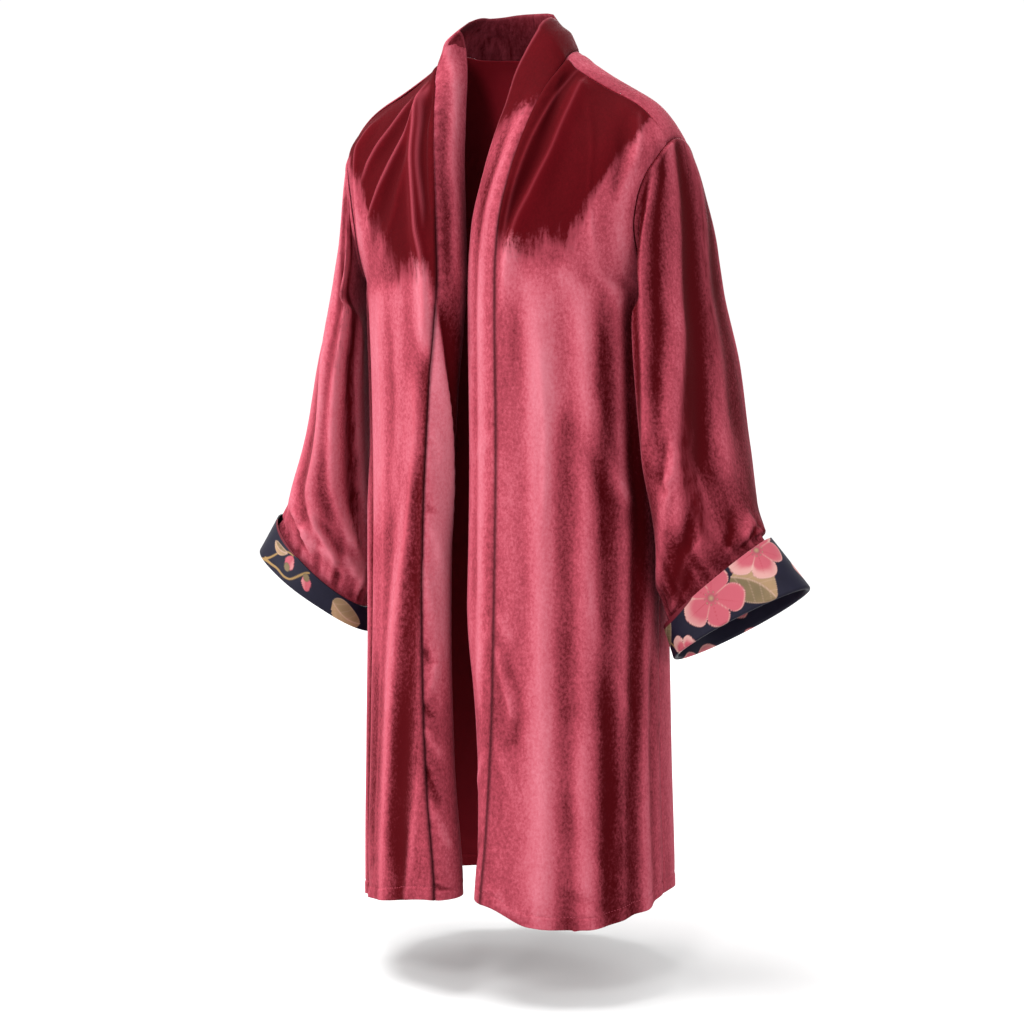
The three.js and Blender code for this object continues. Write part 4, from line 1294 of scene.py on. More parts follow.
@dataclass(frozen=True)
class Print:
    """Smooth navy satin with blossoms, leaves, buds and twigs, and velvet along its turned-back edge."""

    ground: Colour = (0.0036, 0.0032, 0.0085)
    ground_light: Colour = (0.0085, 0.0075, 0.018)
    wood: Colour = (0.2, 0.12, 0.045)
    leaf: Colour = (0.1, 0.072, 0.038)
    leaf_pale: Colour = (0.25, 0.155, 0.085)
    petal: Colour = (0.3, 0.058, 0.079)
    petal_pale: Colour = (0.37, 0.19, 0.175)
    line: Colour = (0.38, 0.24, 0.2)
    shade: Colour = (0.24, 0.02, 0.034)
    edge: Colour = (0.085, 0.007, 0.013)
    weave: Triple = (700, 700, 700)  # waves to a metre along X, Y and Z, as in the next
    wash: Triple = (60, 60, 60)
    weave_height: float = 0.0003  # in metres

    def material(self) -> bpy.types.Material:
        """Builds the finish.

        Returns:
            The material.
        """
        shader = Shader("cuff_print")
        weave = shader.noise(self.weave, 2.0, 0.5)
        wash = shader.noise(self.wash, 3.0, 0.6)
        tone = shader.mark("tone") + (wash - 0.5) * 0.5
        paint = shader.blend(wash, self.ground, self.ground_light)
        paint = shader.blend(shader.mark("twig"), paint, self.wood)
        leaf = shader.blend(tone.steps(0.0, 1.0), self.leaf, self.leaf_pale)
        paint = shader.blend(shader.mark("leaf"), paint, leaf)
        petal = shader.blend(tone.steps(0.15, 1.0), self.petal, self.petal_pale)
        petal = shader.blend(shader.mark("fold") * 0.7, petal, self.shade)
        paint = shader.blend(shader.mark("petal"), paint, petal)
        paint = shader.blend(shader.mark("vein") * 0.7, paint, self.line)
        paint = shader.blend(shader.mark("edge"), paint, self.edge)
        shader.feed(shader.surface.inputs["Base Color"], paint)
        shader.raise_by(weave, self.weave_height, 0.2)
        shader.constants(Roughness=0.5, Specular_IOR_Level=0.1)
        return shader.material


BACK_HEM = Table("w z", (0, -946), (0.5, -934), (1, -912))


@dataclass(frozen=True)
class Bodice:
    """The two fronts, the back and the folded band: the part of the robe that hangs on the body."""

    front_columns: int = 106
    front_ends: float = 0.35  # how much closer the columns are at the seams
    neck_columns: int = 34  # of half the back, up to the neck point
    wing_columns: int = 32  # from there to the side seam
    back_ends: float = 0.3
    upper_rows: int = 90
    lower_rows: int = 170
    neck_rows: int = 50  # of the band, from the centre back to the neck point
    band_columns: int = 22
    band_ends: float = 0.4
    front_ripple: float = 0.5  # height of the waves
    front_ripple_from: Ramp = Ramp(0.0, 0.1)  # by the share across
    front_from_band: Ramp = Ramp(0.0, 0.05)  # where the folds start, by the share across
    front_from_side: Ramp = Ramp(1.0, -0.08)
    front_from_shoulder: Ramp = Ramp(0.0, 0.12)  # by the row
    overlap: Ramp = Ramp(-120.0, -90.0)  # heights at which the band comes to lie over the front
    front_puckers: Bell = Bell(7.0, 8.0)
    # painted shade in the groove beside the band, by the distance across
    front_shade: Bell = Bell(0.0, 2.6)
    shoulder_lip: Bell = Bell(0.0, 0.05)  # by the row
    back_ripple: float = 0.7
    back_seed: float = 2.2
    back_ripple_from: Ramp = Ramp(0.1, 0.2)  # by the row
    back_folds_from: Ramp = Ramp(0.08, 0.2)
    back_from_right: Ramp = Ramp(0.0, 0.03)  # by the share across
    back_from_left: Ramp = Ramp(1.0, -0.03)
    # strength of the painted highlight along the back's fold crests
    back_rims: float = 0.5
    back_neck: Bell = Bell(0.0, 0.02)  # the painted shadow under the collar, by the row
    # painted shade on the back's inner face, set by the next three
    inner_shade: float = 0.6  # of the back's inner face,
    inner_below: Ramp = Ramp(-90.0, -110.0)  # below these heights
    inner_beside: Ramp = Ramp(0.335, -0.05)  # and on the right, by the share across
    band_seed: float = 3.0
    band_puckers: Bell = Bell(5.0, 7.0)
    band_groove: Bell = Bell(0.0, 2.5)
    # painted shade along the band's seam, by the distance across and the run down it
    band_shade: Bell = Bell(0.0, 2.4)
    band_shade_from: Ramp = Ramp(-210.0, -90.0)
    band_crest_rise: float = 3.4  # at which a crease of the band gets its brightest painted highlight
    # painted highlight along the band's free edge: strength, inset from the edge and half width
    band_rim: float = 0.6
    band_rim_inset: float = 1.0
    band_rim_half: float = 1.6
    collar_slope: float = 0.7  # of the foot of the band's crushed pile
    inner_crest: float = -0.3  # marks of the band's inner face
    inner_brushed: float = -0.1

    def front(self, side: Side) -> Cloth:
        """One front.

        Args:
            side: The wearer's left or right.

        Returns:
            Its shell.
        """
        columns = spaced(self.front_columns, self.front_ends)
        u, h = np.meshgrid(columns, body_rows(self.upper_rows, self.lower_rows))
        outer, marks = self.front_skin(side, u, h)
        inward = normals_of(outer) * side.sign
        inner = outer + inward * VELVET_THICK
        shell = Cloth.shell(f"velvet_front_{side.name}", outer, inner, False, marks)
        shell.sew_hem(outer, -inward, side.hem.one(u))
        return shell

    def front_base(self, side: Side, u: Array, h: Array) -> Array:
        """One front without its creases.

        Args:
            side: The wearer's left or right.
            u: The share across, 0 at the band and 1 at the side.
            h: The row, as in Torso.height.

        Returns:
            Points, with a last axis of 3.
        """
        shoulder = TORSO.shoulder(u)
        z = TORSO.height(h, shoulder["seam"], shoulder["ridge"], side.hem.one(u))
        edge = side.edge.one(z)

        def turn_at(wide: Array, outer: Array) -> Array:
            """The turn of each column."""
            return mix(TORSO.turn_of(edge, wide), outer, u)

        return TORSO.point(Face.FRONT, side.sign, z, shoulder["ridge"], turn_at)

    def front_skin(self, side: Side, u: Array, h: Array) -> tuple[Array, dict[str, Array]]:
        """One front's outer skin.

        Args:
            side: The wearer's left or right.
            u: The share across, on a grid.
            h: The row, on the same grid.

        Returns:
            The points, and the marks for the finish.
        """
        base = self.front_base(side, u, h)
        across, along = u * FRONT_WIDTH, base[..., 2]
        relief = creased(side.front_creases, along, across)
        relief += self.front_ripple * ripple(along, across, side.seed) * self.front_ripple_from(u)
        free = self.front_from_band(u) * self.front_from_side(u) * self.front_from_shoulder(h)
        overlap = self.overlap(along)
        seam = -(SEAM_DEPTH + SEAM_DEPTH * overlap) * bump(across, SEAM_HALF)
        seam = seam - SEAM_DEPTH * bump(FRONT_WIDTH - across, SEAM_HALF)
        seam += PUCKER_RISE * puckers(along, side.seed) * self.front_puckers(across)
        seam += SHOULDER_LIP * self.shoulder_lip(h)
        out = normals_of(base) * -side.sign
        moved = relief * free + seam + HEM.relief(along - side.hem.one(u), across)
        rims = rimmed(side.front_creases, along, across)
        marks = {
            # the folds' painted light and shade, and bands of it with no fold
            "crest": limited(relief / CREST_RISE + creased(side.front_naps, along, across)),
            "brushed": brushed_above(side.brushed.one(across), along),
            # painted highlight along the fold crests
            "rim": side.rims * rims * self.front_from_side(u),
            # painted shade in the groove where the band lies over the front
            "shade": SEAM_SHADE * overlap * self.front_shade(across),
        }
        return base + out * moved[..., None], marks

    def back(self) -> Cloth:
        """The back, from one side seam over the shoulders to the other.

        Returns:
            Its shell.
        """
        neck = spaced(self.neck_columns, self.back_ends) * NECK_SHARE
        wing = mix(NECK_SHARE, 1.0, spaced(self.wing_columns, self.back_ends)[1:])
        half = np.concatenate([neck, wing])
        columns = (1 + np.concatenate([-half[:0:-1], half])) / 2
        w, h = np.meshgrid(columns, body_rows(self.upper_rows, self.lower_rows))
        base, hem = self.back_base(w, h), BACK_HEM.one(w)
        across, along = w * BACK_WIDTH, base[..., 2]
        relief = creased(BACK_CREASES, along, across) * self.back_folds_from(h)
        relief += self.back_ripple * ripple(along, across, self.back_seed) * self.back_ripple_from(h)
        free = self.back_from_right(w) * self.back_from_left(w)
        seam = -SEAM_DEPTH * bump(across, SEAM_HALF) - SEAM_DEPTH * bump((1 - w) * BACK_WIDTH, SEAM_HALF)
        moved = relief * free + seam + HEM.relief(along - hem, across)
        points = base + normals_of(base) * moved[..., None]
        marks = {
            # the folds' painted light and shade, and bands of it with no fold
            "crest": limited(relief / CREST_RISE + creased(BACK_PAINTED_LIGHT, along, across)),
            "brushed": np.full_like(across, UNBRUSHED),
            # painted highlight along the fold crests
            "rim": self.back_rims * rimmed(BACK_CREASES, along, across),
        }
        out = normals_of(points)
        shell = Cloth.shell("velvet_back", points, points - out * VELVET_THICK, False, marks)
        # painted shade on the inner face, low down and on the right
        inner_shade = self.inner_shade * np.maximum(self.inner_below(along), self.inner_beside(w))
        # painted shadow under the collar, on the outer face
        neck_shadow = SEAM_SHADE * self.back_neck(h) * (np.abs(2 * w - 1) < NECK_SHARE)
        shell.marks["shade"] = np.concatenate([neck_shadow.ravel(), inner_shade.ravel()])
        shell.sew_hem(points, out, hem)
        return shell

    @staticmethod
    def back_base(w: Array, h: Array) -> Array:
        """The back without its creases.

        Args:
            w: The share across, 0 at the right side seam and 1 at the left one.
            h: The row, as in Torso.height.

        Returns:
            Points, with a last axis of 3.
        """
        sign = np.where(w < 0.5, -1.0, 1.0)
        across = np.abs(2 * w - 1)
        n = across / NECK_SHARE
        u = (across - NECK_SHARE) / (1 - NECK_SHARE)
        shoulder, neck = TORSO.shoulder(u), TORSO.neck(n)
        ridge = np.where(n < 1, neck["ridge"], shoulder["ridge"])
        start = np.where(n < 1, neck["start"], -shoulder["seam"])
        z = TORSO.height(h, start, ridge, BACK_HEM.one(w))

        def turn_at(wide: Array, outer: Array) -> Array:
            """The turn of each column."""
            at_neck = TORSO.turn_of(np.full_like(wide, NECK_HALF), wide)
            return np.where(n < 1, at_neck * n, mix(at_neck, outer, u))

        over = (h <= 1) & (mix(start, 1.0, np.minimum(h, 1.0)) < 0)
        ahead = TORSO.point(Face.FRONT, sign, z, ridge, turn_at)
        behind = TORSO.point(Face.BACK, sign, z, ridge, turn_at)
        return np.where(over[..., None], ahead, behind)

    def band_seam(self, side: Side) -> tuple[Array, Array]:
        """The line along which one half of the band is sewn on.

        Args:
            side: The wearer's left or right.

        Returns:
            The line's k, which counts on from the centre back as in Side, and its points.
        """
        n = spaced(self.neck_rows)[:-1]
        w = 0.5 + side.sign * NECK_SHARE * n / 2
        at_neck = self.back_base(w[None, :], np.zeros((1, len(n))))[0]
        h = body_rows(self.upper_rows, self.lower_rows)
        columns, rows = np.meshgrid(np.array([0.0, 0.004]), h)
        at_front = self.front_skin(side, columns, rows)[0][:, 0]
        return np.concatenate([n, 1 + h]), np.concatenate([at_neck, at_front])

    def band(self, side: Side) -> Cloth:
        """One half of the folded band, from the centre back round the neck and down the front edge.

        Args:
            side: The wearer's left or right.

        Returns:
            Its shell.
        """
        k, at = self.band_seam(side)
        lean = side.lean(k)
        way = unit(np.stack([-side.sign * lean["x"], lean["y"], lean["z"]], axis=-1))
        face = unit(np.cross(np.gradient(at, axis=0), way) * -side.sign)
        q = spaced(self.band_columns, self.band_ends)
        curl = np.radians(lean["curl"])[:, None]
        start, to = -curl / 2, curl * (q[None, :] - 0.5)
        ahead = BAND_WIDTH / curl * (np.sin(to) - np.sin(start))
        bulge = BAND_WIDTH / curl * (np.cos(to) - np.cos(start))
        points = at[:, None] + way[:, None] * ahead[..., None] + face[:, None] * bulge[..., None]
        skin = face[:, None] * np.cos(to)[..., None] + way[:, None] * np.sin(to)[..., None]
        across, run = np.broadcast_arrays(q[None, :] * BAND_WIDTH, -lengths(at)[:, None])
        relief = creased(side.band_creases, run, across)
        relief += self.front_ripple * ripple(run, across, side.seed + self.band_seed)
        relief += PUCKER_RISE * puckers(run, side.seed) * self.band_puckers(across)
        points = points + skin * (relief - SEAM_DEPTH * self.band_groove(across))[..., None]
        inner = points - skin * self.band_thickness(q)[None, :, None]
        marks = {
            # the folds' painted light and shade, and bands of it with no fold
            "crest": limited(relief / self.band_crest_rise + creased(side.band_painted_light, run, across)),
            "brushed": brushed_above(side.collar_brushed - self.collar_slope * across, run),
            # painted shade along the seam, lower down
            "shade": SEAM_SHADE * self.band_shade_from(run) * self.band_shade(across),
            # painted highlight along the free edge
            "rim": self.band_rim * bump(across - BAND_WIDTH + self.band_rim_inset, self.band_rim_half),
        }
        shell = Cloth.shell(f"velvet_neckband_{side.name}", points, inner, False, marks)
        inner_face = shell.marks["inside"] > 0
        shell.marks["crest"][inner_face] = self.inner_crest
        shell.marks["brushed"][inner_face] = self.inner_brushed
        shell.marks["inside"][:] = 0.0
        return shell

    @staticmethod
    def band_thickness(q: Array) -> Array:
        """The folded band's thickness by the share across it, rounded off at both edges."""
        return BAND_THICK * np.sin(np.pi * np.clip(q * 0.96 + 0.02, 0, 1)) ** 0.35


def gather_waves(turn: Array, seed: float) -> Array:
    """Uneven gathers round a sleeve's end, between about -1 and 1."""
    wander = 0.35 * np.sin(2 * np.pi * 3 * turn + seed)
    wave = 0.6 * np.sin(2 * np.pi * 17 * turn + 4 * wander) + 0.4 * np.sin(2 * np.pi * 29 * turn + seed)
    return wave * (0.75 + 0.25 * np.sin(2 * np.pi * 2 * turn + seed))


@dataclass(frozen=True)
class Sleeves:
    """The two sleeves and their turned-back cuffs."""

    head: float = 0.2  # share of the sleeve that turns from the armhole to a ring
    gather: float = 0.9  # share at which it goes inside the cuff
    closing: float = 0.07  # share in which it narrows to go inside
    end: float = 0.513  # share of the cuff at which the sleeve ends, inside it
    entry_inset: float = 8.2  # how far inside the cuff it lies, at the cuff's top
    end_inset: float = 4.2  # and at its own end
    clear: float = 4.5  # between the sleeve and the body beside it
    clear_from: Ramp = Ramp(0.0, 0.06)  # by the share of the way down, as in the next ones
    touch: float = 1.6  # how softly the sleeve bends where it meets that
    turns: int = 132
    rows: int = 150
    end_rows: int = 14
    ripple_rise: float = 0.6
    ripple_seed: float = 5.0
    ripple_from: Ramp = Ramp(0.0, 0.1)
    gather_rise: float = 2.4
    gathers_from: Ramp = Ramp(0.72, 0.16)
    gathers_to: Ramp = Ramp(0.92, -0.04)
    # shares of the folds' painted light and shade, and of the painted highlight on their crests
    crest_share: float = 0.85
    rim_share: float = 0.6
    reverse_from: Ramp = Ramp(0.3, 0.2)  # where the inner face shows the cloth's reverse
    # painted shade on the sleeve's inner face
    inner_shade: float = 0.65
    streak: Bell = Bell(0.0, 0.026)  # of brushed pile, by the share of the way round from its middle
    streak_mark: float = 1.45
    broad: Bell = Bell(-0.085, 0.07)  # the paler streak on its outer side
    broad_mark: float = 0.85
    broad_to: Ramp = Ramp(0.62, -0.3)
    brushed_from: Ramp = Ramp(0.0, 0.06)
    brushed_to: Ramp = Ramp(0.9, -0.2)
    rings: Table = Table(
        "s x y z out deep lift nod yaw",
        (0, 182, 8, -184, 12, 68, 80, 0, 6),
        (0.06, 187, 7, -194, 17, 68, 70, 0, 8),
        (0.16, 186, 2, -222, 18, 73, 54, 0, 13),
        (0.3, 190, 0, -275, 21, 79, 32, 0, 14),
        (0.45, 202, 0, -350, 29, 88, 14, 0, 14),
        (0.6, 211, 3, -430, 36, 90, 6, 0, 13),
        (0.74, 222, 6, -500, 47, 80, 12, 0, 8),
        (0.84, 230, 4, -546, 56, 62, 32, 0, 4),
        (0.9, 236, 0, -569, 52, 44, 46, 0, 0),
    )
    cuff_top: dict[str, float] = field(
        default_factory=lambda: dict(x=237, y=0, z=-570, out=58, deep=52, lift=51.5, nod=0, yaw=0)
    )
    cuff_turns: int = 348
    cuff_rows: int = 70
    fold_rows: int = 18
    inner_rows: int = 22
    fold_at: float = 0.94  # share of the cuff at which it starts to fold at the mouth
    fold_radius: float = 3.1
    turned_in: float = 0.42  # share of the cuff that the fold leads back inside

    def cuff_ring(self, side: Side, t: Array) -> Ring:
        """The cuff's ring, from the turned-back part's top edge (0) to the fold at its mouth (1)."""
        return Ring(**{key: mix(self.cuff_top[key], side.mouth[key], t) for key in self.cuff_top})

    def body_side(self, side: Side, points: Array) -> Array:
        """How far out the body reaches beside points of the sleeve.

        Args:
            side: The wearer's left or right.
            points: Points, with a last axis of 3.

        Returns:
            The body's x beside each.
        """
        y, z = points[..., 1], points[..., 2]
        section = TORSO.section(z)
        forward = y < section["seam"]
        depth = np.where(forward, section["front"], section["back"])
        share = np.minimum(np.abs(y - section["seam"]) / depth, 1.0)
        wide = side.sign * section["middle"] + section["side"] * (1 - share ** (2 / ROUND)) ** (ROUND / 2)
        hole = np.where(forward, TORSO.armhole_front(z)["x"], TORSO.armhole_back(z)["x"])
        return mix(hole, wide, ease((UNDERARM_Z - z) / UNDERARM_REACH))

    def skin(self, side: Side, s: Array, turn: Array, relief: Array) -> Array:
        """A sleeve's outer skin.

        Args:
            side: The wearer's left or right.
            s: The share of the way down.
            turn: The share of the way round, from the outer side through the front.
            relief: How far the folds move it out.

        Returns:
            Points of a left sleeve.
        """
        inside = (s - self.gather) / (1 - self.gather)
        swell = relief * np.clip(1 - inside, 0, 1) - mix(self.entry_inset, self.end_inset, inside)
        end = self.cuff_ring(side, mix(0.0, self.end, inside)).point(turn, swell)
        ring = Ring(**self.rings(s)).point(turn, relief)
        ring = mix(ring, end, ease((s - self.gather) / self.closing + 1)[..., None])
        point = mix(TORSO.armhole(turn), ring, ease(s / self.head)[..., None])
        clear = mix(0.0, self.clear, self.clear_from(s))
        over = point[..., 0] - self.body_side(side, point) - clear
        point[..., 0] += self.touch * np.logaddexp(0.0, over / self.touch) - over
        return point

    def sleeve(self, side: Side) -> Cloth:
        """One sleeve.

        Args:
            side: The wearer's left or right.

        Returns:
            Its shell.
        """
        around = np.linspace(0.0, 1.0, self.turns, endpoint=False)
        upper, lower = spaced(self.rows) * self.gather, spaced(self.end_rows)[1:]
        down = np.concatenate([upper, self.gather + 0.1 * lower])
        turn, s = np.meshgrid(around, down)
        across, along = turn * SLEEVE_GIRTH, -s * SLEEVE_LENGTH
        relief = creased(side.sleeve_creases, along, across, SLEEVE_GIRTH)
        gathers = self.gathers_from(s) * self.gathers_to(s)
        relief += gathers * gather_waves(turn, side.seed) * self.gather_rise
        waves = ripple(along, across, side.seed + self.ripple_seed)
        relief += self.ripple_rise * waves * self.ripple_from(s)
        outer = self.skin(side, s, turn, relief)
        inner = outer - normals_of(outer, True) * VELVET_THICK
        mirror = np.array([side.sign, 1.0, 1.0])
        rims = rimmed(side.sleeve_creases, along, across, SLEEVE_GIRTH)
        marks = {
            # the folds' painted light and shade, and the whole sleeve's painted light or shade
            "crest": limited(self.crest_share * relief / CREST_RISE) + side.sleeve_tone,
            "brushed": self.brushed(side, s, turn),
            # painted highlight along the crests
            "rim": self.rim_share * side.rims * rims,
        }
        shell = Cloth.shell(f"velvet_sleeve_{side.name}", outer * mirror, inner * mirror, True, marks)
        shell.marks["inside"] *= np.tile(self.reverse_from(s.ravel()), 2)
        # painted shade on the inner face
        shell.marks["shade"] = self.inner_shade * shell.marks["inside"]
        return shell

    def brushed(self, side: Side, s: Array, turn: Array) -> Array:
        """Where a sleeve's pile is brushed down.

        Args:
            side: The wearer's left or right.
            s: The share of the way down.
            turn: The share of the way round.

        Returns:
            The brushed mark: a narrow dark streak, and a broad paler one on its outer side.
        """
        middle = side.sleeve_dark.one(s)
        off = turn - middle - np.round(turn - middle)
        streak = self.streak_mark * self.streak(off)
        broad = self.broad_mark * self.broad(off) * self.broad_to(s)
        return np.maximum(streak, broad) * self.brushed_from(s) * self.brushed_to(s) - 1.0

    def cuff(self, side: Side) -> Cloth:
        """One cuff: a printed band turned back over the sleeve's end, open between its two walls.

        Args:
            side: The wearer's left or right.

        Returns:
            Its shell.
        """
        fold = np.pi * spaced(self.fold_rows)[1:-1]
        outside = spaced(self.cuff_rows) * self.fold_at
        within = self.fold_at - self.turned_in * spaced(self.inner_rows)
        down = np.concatenate([outside, np.full_like(fold, self.fold_at), within])
        ahead = np.concatenate([np.zeros_like(outside), np.sin(fold), np.zeros_like(within)])
        bend = np.concatenate([np.zeros_like(outside), fold, np.full_like(within, np.pi)])
        turn, t = np.meshgrid(np.linspace(0, 1, self.cuff_turns, endpoint=False), down)
        relief = self.cuff_relief(side, turn, t)
        skins = []
        for radius in (self.fold_radius, self.fold_radius - CUFF_THICK):
            reach = t + (1 - self.fold_at) * radius / self.fold_radius * ahead[:, None]
            inset = self.fold_radius - radius * np.cos(bend)[:, None]
            skins.append(self.cuff_ring(side, reach).point(turn, relief - inset))
        outer, inner = skins
        marks = self.printed(side, outer)
        mirror = np.array([side.sign, 1.0, 1.0])
        return Cloth.shell(f"printed_cuff_{side.name}", outer * mirror, inner * mirror, True, marks)

    def printed(self, side: Side, outer: Array) -> dict[str, Array]:
        """Paints a cuff's print.

        Args:
            side: The wearer's left or right.
            outer: The cuff's outer skin, as of a left one.

        Returns:
            The marks for the finish.
        """
        middle = outer[self.cuff_rows // 2]
        across = np.cumsum(np.linalg.norm(np.roll(middle, 1, axis=0) - middle, axis=1))
        gone = np.linalg.norm(np.diff(outer, axis=0), axis=2)
        along = np.cumsum(np.concatenate([np.zeros((1, self.cuff_turns)), gone]), axis=0)
        canvas = Canvas(np.broadcast_to(across, along.shape), along, float(across[-1]))
        for motif in CUFF_PRINTS[side.name]:
            motif.paint(canvas)
        return canvas.marks

    @staticmethod
    def cuff_relief(side: Side, turn: Array, t: Array) -> Array:
        """How far the cuff's cloth bends out of its ring.

        Args:
            side: The wearer's left or right.
            turn: The share of the way round.
            t: The share of the way from the top edge to the mouth.

        Returns:
            The movement in mm, of three slow waves and seven dents.
        """
        slow = np.sin(2 * np.pi * 3 * turn + side.seed) * (0.4 + 0.6 * t)
        dents = np.sin(2 * np.pi * 7 * turn + 2 * side.seed + 1.5 * t) * t * (1 - 0.5 * t)
        return 0.9 * slow + 0.8 * dents - 0.6


KINDS = ("petal", "leaf", "twig", "edge")
TOUCHES = ("tone", "vein", "fold")


def inked(inside: Array, soft: float) -> Array:
    """A painted shape's mask.

    Args:
        inside: How far inside the shape's outline each place is, in mm.
        soft: The width in which the outline gives way.

    Returns:
        1 inside the shape and 0 outside it.
    """
    return ease(inside / soft + 0.5)


@dataclass
class Canvas:
    """The unrolled cuff on which its print is painted, in mm: across it and along it."""

    across: Array
    along: Array
    girth: float
    marks: dict[str, Array] = field(default_factory=dict)

    def __post_init__(self) -> None:
        """Starts with bare cloth."""
        for name in KINDS + TOUCHES:
            self.marks[name] = np.zeros(self.along.shape)

    def local(self, at: tuple[float, float], turn: float) -> tuple[Array, Array]:
        """Places seen from a motif.

        Args:
            at: The motif's place, across and along.
            turn: Its turn, in degrees.

        Returns:
            The distance ahead of it and the distance to its left.
        """
        dx = self.across - at[0]
        dx = dx - self.girth * np.round(dx / self.girth)
        dy = self.along - at[1]
        cos, sin = math.cos(math.radians(turn)), math.sin(math.radians(turn))
        return dx * cos + dy * sin, dy * cos - dx * sin

    def lay(self, kind: str, mask: Array, **marks: Array) -> None:
        """Paints over what is there.

        Args:
            kind: One of KINDS.
            mask: Where, 0 to 1.
            marks: How pale it is (tone), and where its lines (vein) and its shaded creases (fold) are.
        """
        for name in KINDS:
            self.marks[name] = self.marks[name] * (1 - mask) + (mask if name == kind else 0)
        for name in TOUCHES:
            self.marks[name] = mix(self.marks[name], marks.get(name, 0.0), mask)


@dataclass(frozen=True)
class Strip:
    """The velvet that shows along a part of the cuff's top edge."""

    across: tuple[float, float]
    depth: float

    def paint(self, canvas: Canvas) -> None:
        """Paints it on a canvas."""
        place = canvas.across
        share = np.clip((place - self.across[0]) / (self.across[1] - self.across[0]), 0, 1)
        half = self.depth * np.sin(np.pi * share) ** 0.6
        canvas.lay("edge", inked(half - canvas.along, 0.8) * (half > 0.1))


@dataclass(frozen=True)
class Blossom:
    """An open flower: broad rounded petals with pale outlines, and shaded creases toward the heart."""

    at: tuple[float, float]
    radius: float
    turn: float = 0.0
    petals: int = 5
    pale: float = 0.5
    heart: float = 0.1  # share of the radius
    dots: int = 9  # round the heart

    def paint(self, canvas: Canvas) -> None:
        """Paints it on a canvas."""
        ahead, left = canvas.local(self.at, self.turn)
        r = np.hypot(ahead, left)
        angle = np.arctan2(left, ahead)
        step = 2 * np.pi / self.petals
        petal = np.round(angle / step)
        off = angle - petal * step
        size = 1 + 0.1 * np.sin(2.4 * petal + self.turn)
        lobe = np.abs(np.cos(np.clip(off * np.pi / step, -1.57, 1.57)))
        frayed = 1 + 0.02 * np.sin(9 * angle + self.turn)
        reach = self.radius * size * (0.6 + 0.4 * lobe**0.45) * frayed
        mask = inked(reach - r, 0.9)
        rim = ease((r / reach - 0.45) / 0.55)
        leaning = 0.5 + 0.5 * np.sin(1.9 * petal + self.turn + off)
        tone = np.clip(rim * (self.pale + 0.9 * leaning - 0.35), 0, 1)
        outline = bump(reach - r - 0.5, 0.65)
        between = bump((step / 2 - np.abs(off)) * r, 0.6) * ease((r / self.radius - 0.12) / 0.2)
        crease = bump(np.sin(3 * off + 0.3 * petal) * r, 0.9)
        crease = crease * ease((r / self.radius - 0.1) / 0.2) * (1 - rim)
        heart = bump(r, self.heart * self.radius)
        vein = np.clip(outline + 0.7 * between, 0, 1)
        canvas.lay("petal", mask, tone=tone, vein=vein, fold=crease + 0.5 * heart)
        dots = bump(r - 0.2 * self.radius, 0.6) * ease(np.sin(self.dots * angle) / 0.6 + 0.2)
        canvas.lay("leaf", np.clip(dots + heart, 0, 1) * mask, tone=0.9)


@dataclass(frozen=True)
class Leaf:
    """A broad pointed leaf with a midrib and side veins."""

    at: tuple[float, float]
    length: float
    width: float
    turn: float
    pale: float = 0.4

    def paint(self, canvas: Canvas) -> None:
        """Paints it on a canvas, from its stalk."""
        ahead, left = canvas.local(self.at, self.turn)
        share = np.clip(ahead / self.length, 0, 1)
        left = left - 0.12 * self.length * np.sin(np.pi * share)
        half = self.width / 2 * np.sin(np.pi * share**0.8) ** 0.7
        inside = half - np.abs(left)
        mask = inked(inside, 0.8) * (ahead > 0) * (ahead < self.length)
        side_veins = np.sin((ahead - 0.9 * np.abs(left)) * 2 * np.pi / (self.length / 4))
        vein = np.clip(bump(left, 0.7) + 0.35 * bump(1 - side_veins, 0.06) + bump(inside, 0.7), 0, 1)
        tone = np.clip(self.pale + 0.4 * np.tanh(left / 2.0) * (1 - 0.6 * share), 0, 1)
        canvas.lay("leaf", mask, tone=tone, vein=0.8 * vein)


@dataclass(frozen=True)
class Twig:
    """A thin branch that tapers to its end."""

    line: tuple[tuple[float, float], ...]
    thick: float = 2.2

    def paint(self, canvas: Canvas) -> None:
        """Paints it on a canvas."""
        path = Table("across along", *self.line)
        first, last = path.key[0], path.key[-1]
        middle = (first + last) / 2
        place = canvas.across - middle
        place = middle + place - canvas.girth * np.round(place / canvas.girth)
        slope = path.one(place + 0.5) - path.one(place - 0.5)
        crooked = 0.7 * np.sin(place / 4.1)
        off = np.abs(canvas.along - path.one(place) - crooked) / np.sqrt(1 + slope**2)
        half = self.thick / 2 * (0.6 + 0.4 * (last - place) / (last - first))
        canvas.lay("twig", inked(half - off, 0.7) * (place > first) * (place < last))


@dataclass(frozen=True)
class Bud:
    """A closed bud with a leafy cup."""

    at: tuple[float, float]
    radius: float
    turn: float = 0.0

    def paint(self, canvas: Canvas) -> None:
        """Paints it on a canvas, its tip ahead."""
        ahead, left = canvas.local(self.at, self.turn)
        stretch = np.where(ahead > 0, 0.8, 1.0)
        r = np.hypot(ahead * stretch, left * (1 + 0.25 * np.clip(ahead / self.radius, 0, 1)))
        tone = np.clip(0.3 + 0.4 * left / self.radius, 0, 0.8)
        canvas.lay("petal", inked(self.radius - r, 0.8), tone=tone, fold=0.8 * bump(left, 0.8))
        cup = self.radius * 0.6 - np.hypot(ahead + self.radius * 0.8, left * 0.9)
        canvas.lay("leaf", inked(cup, 0.8), tone=0.2)


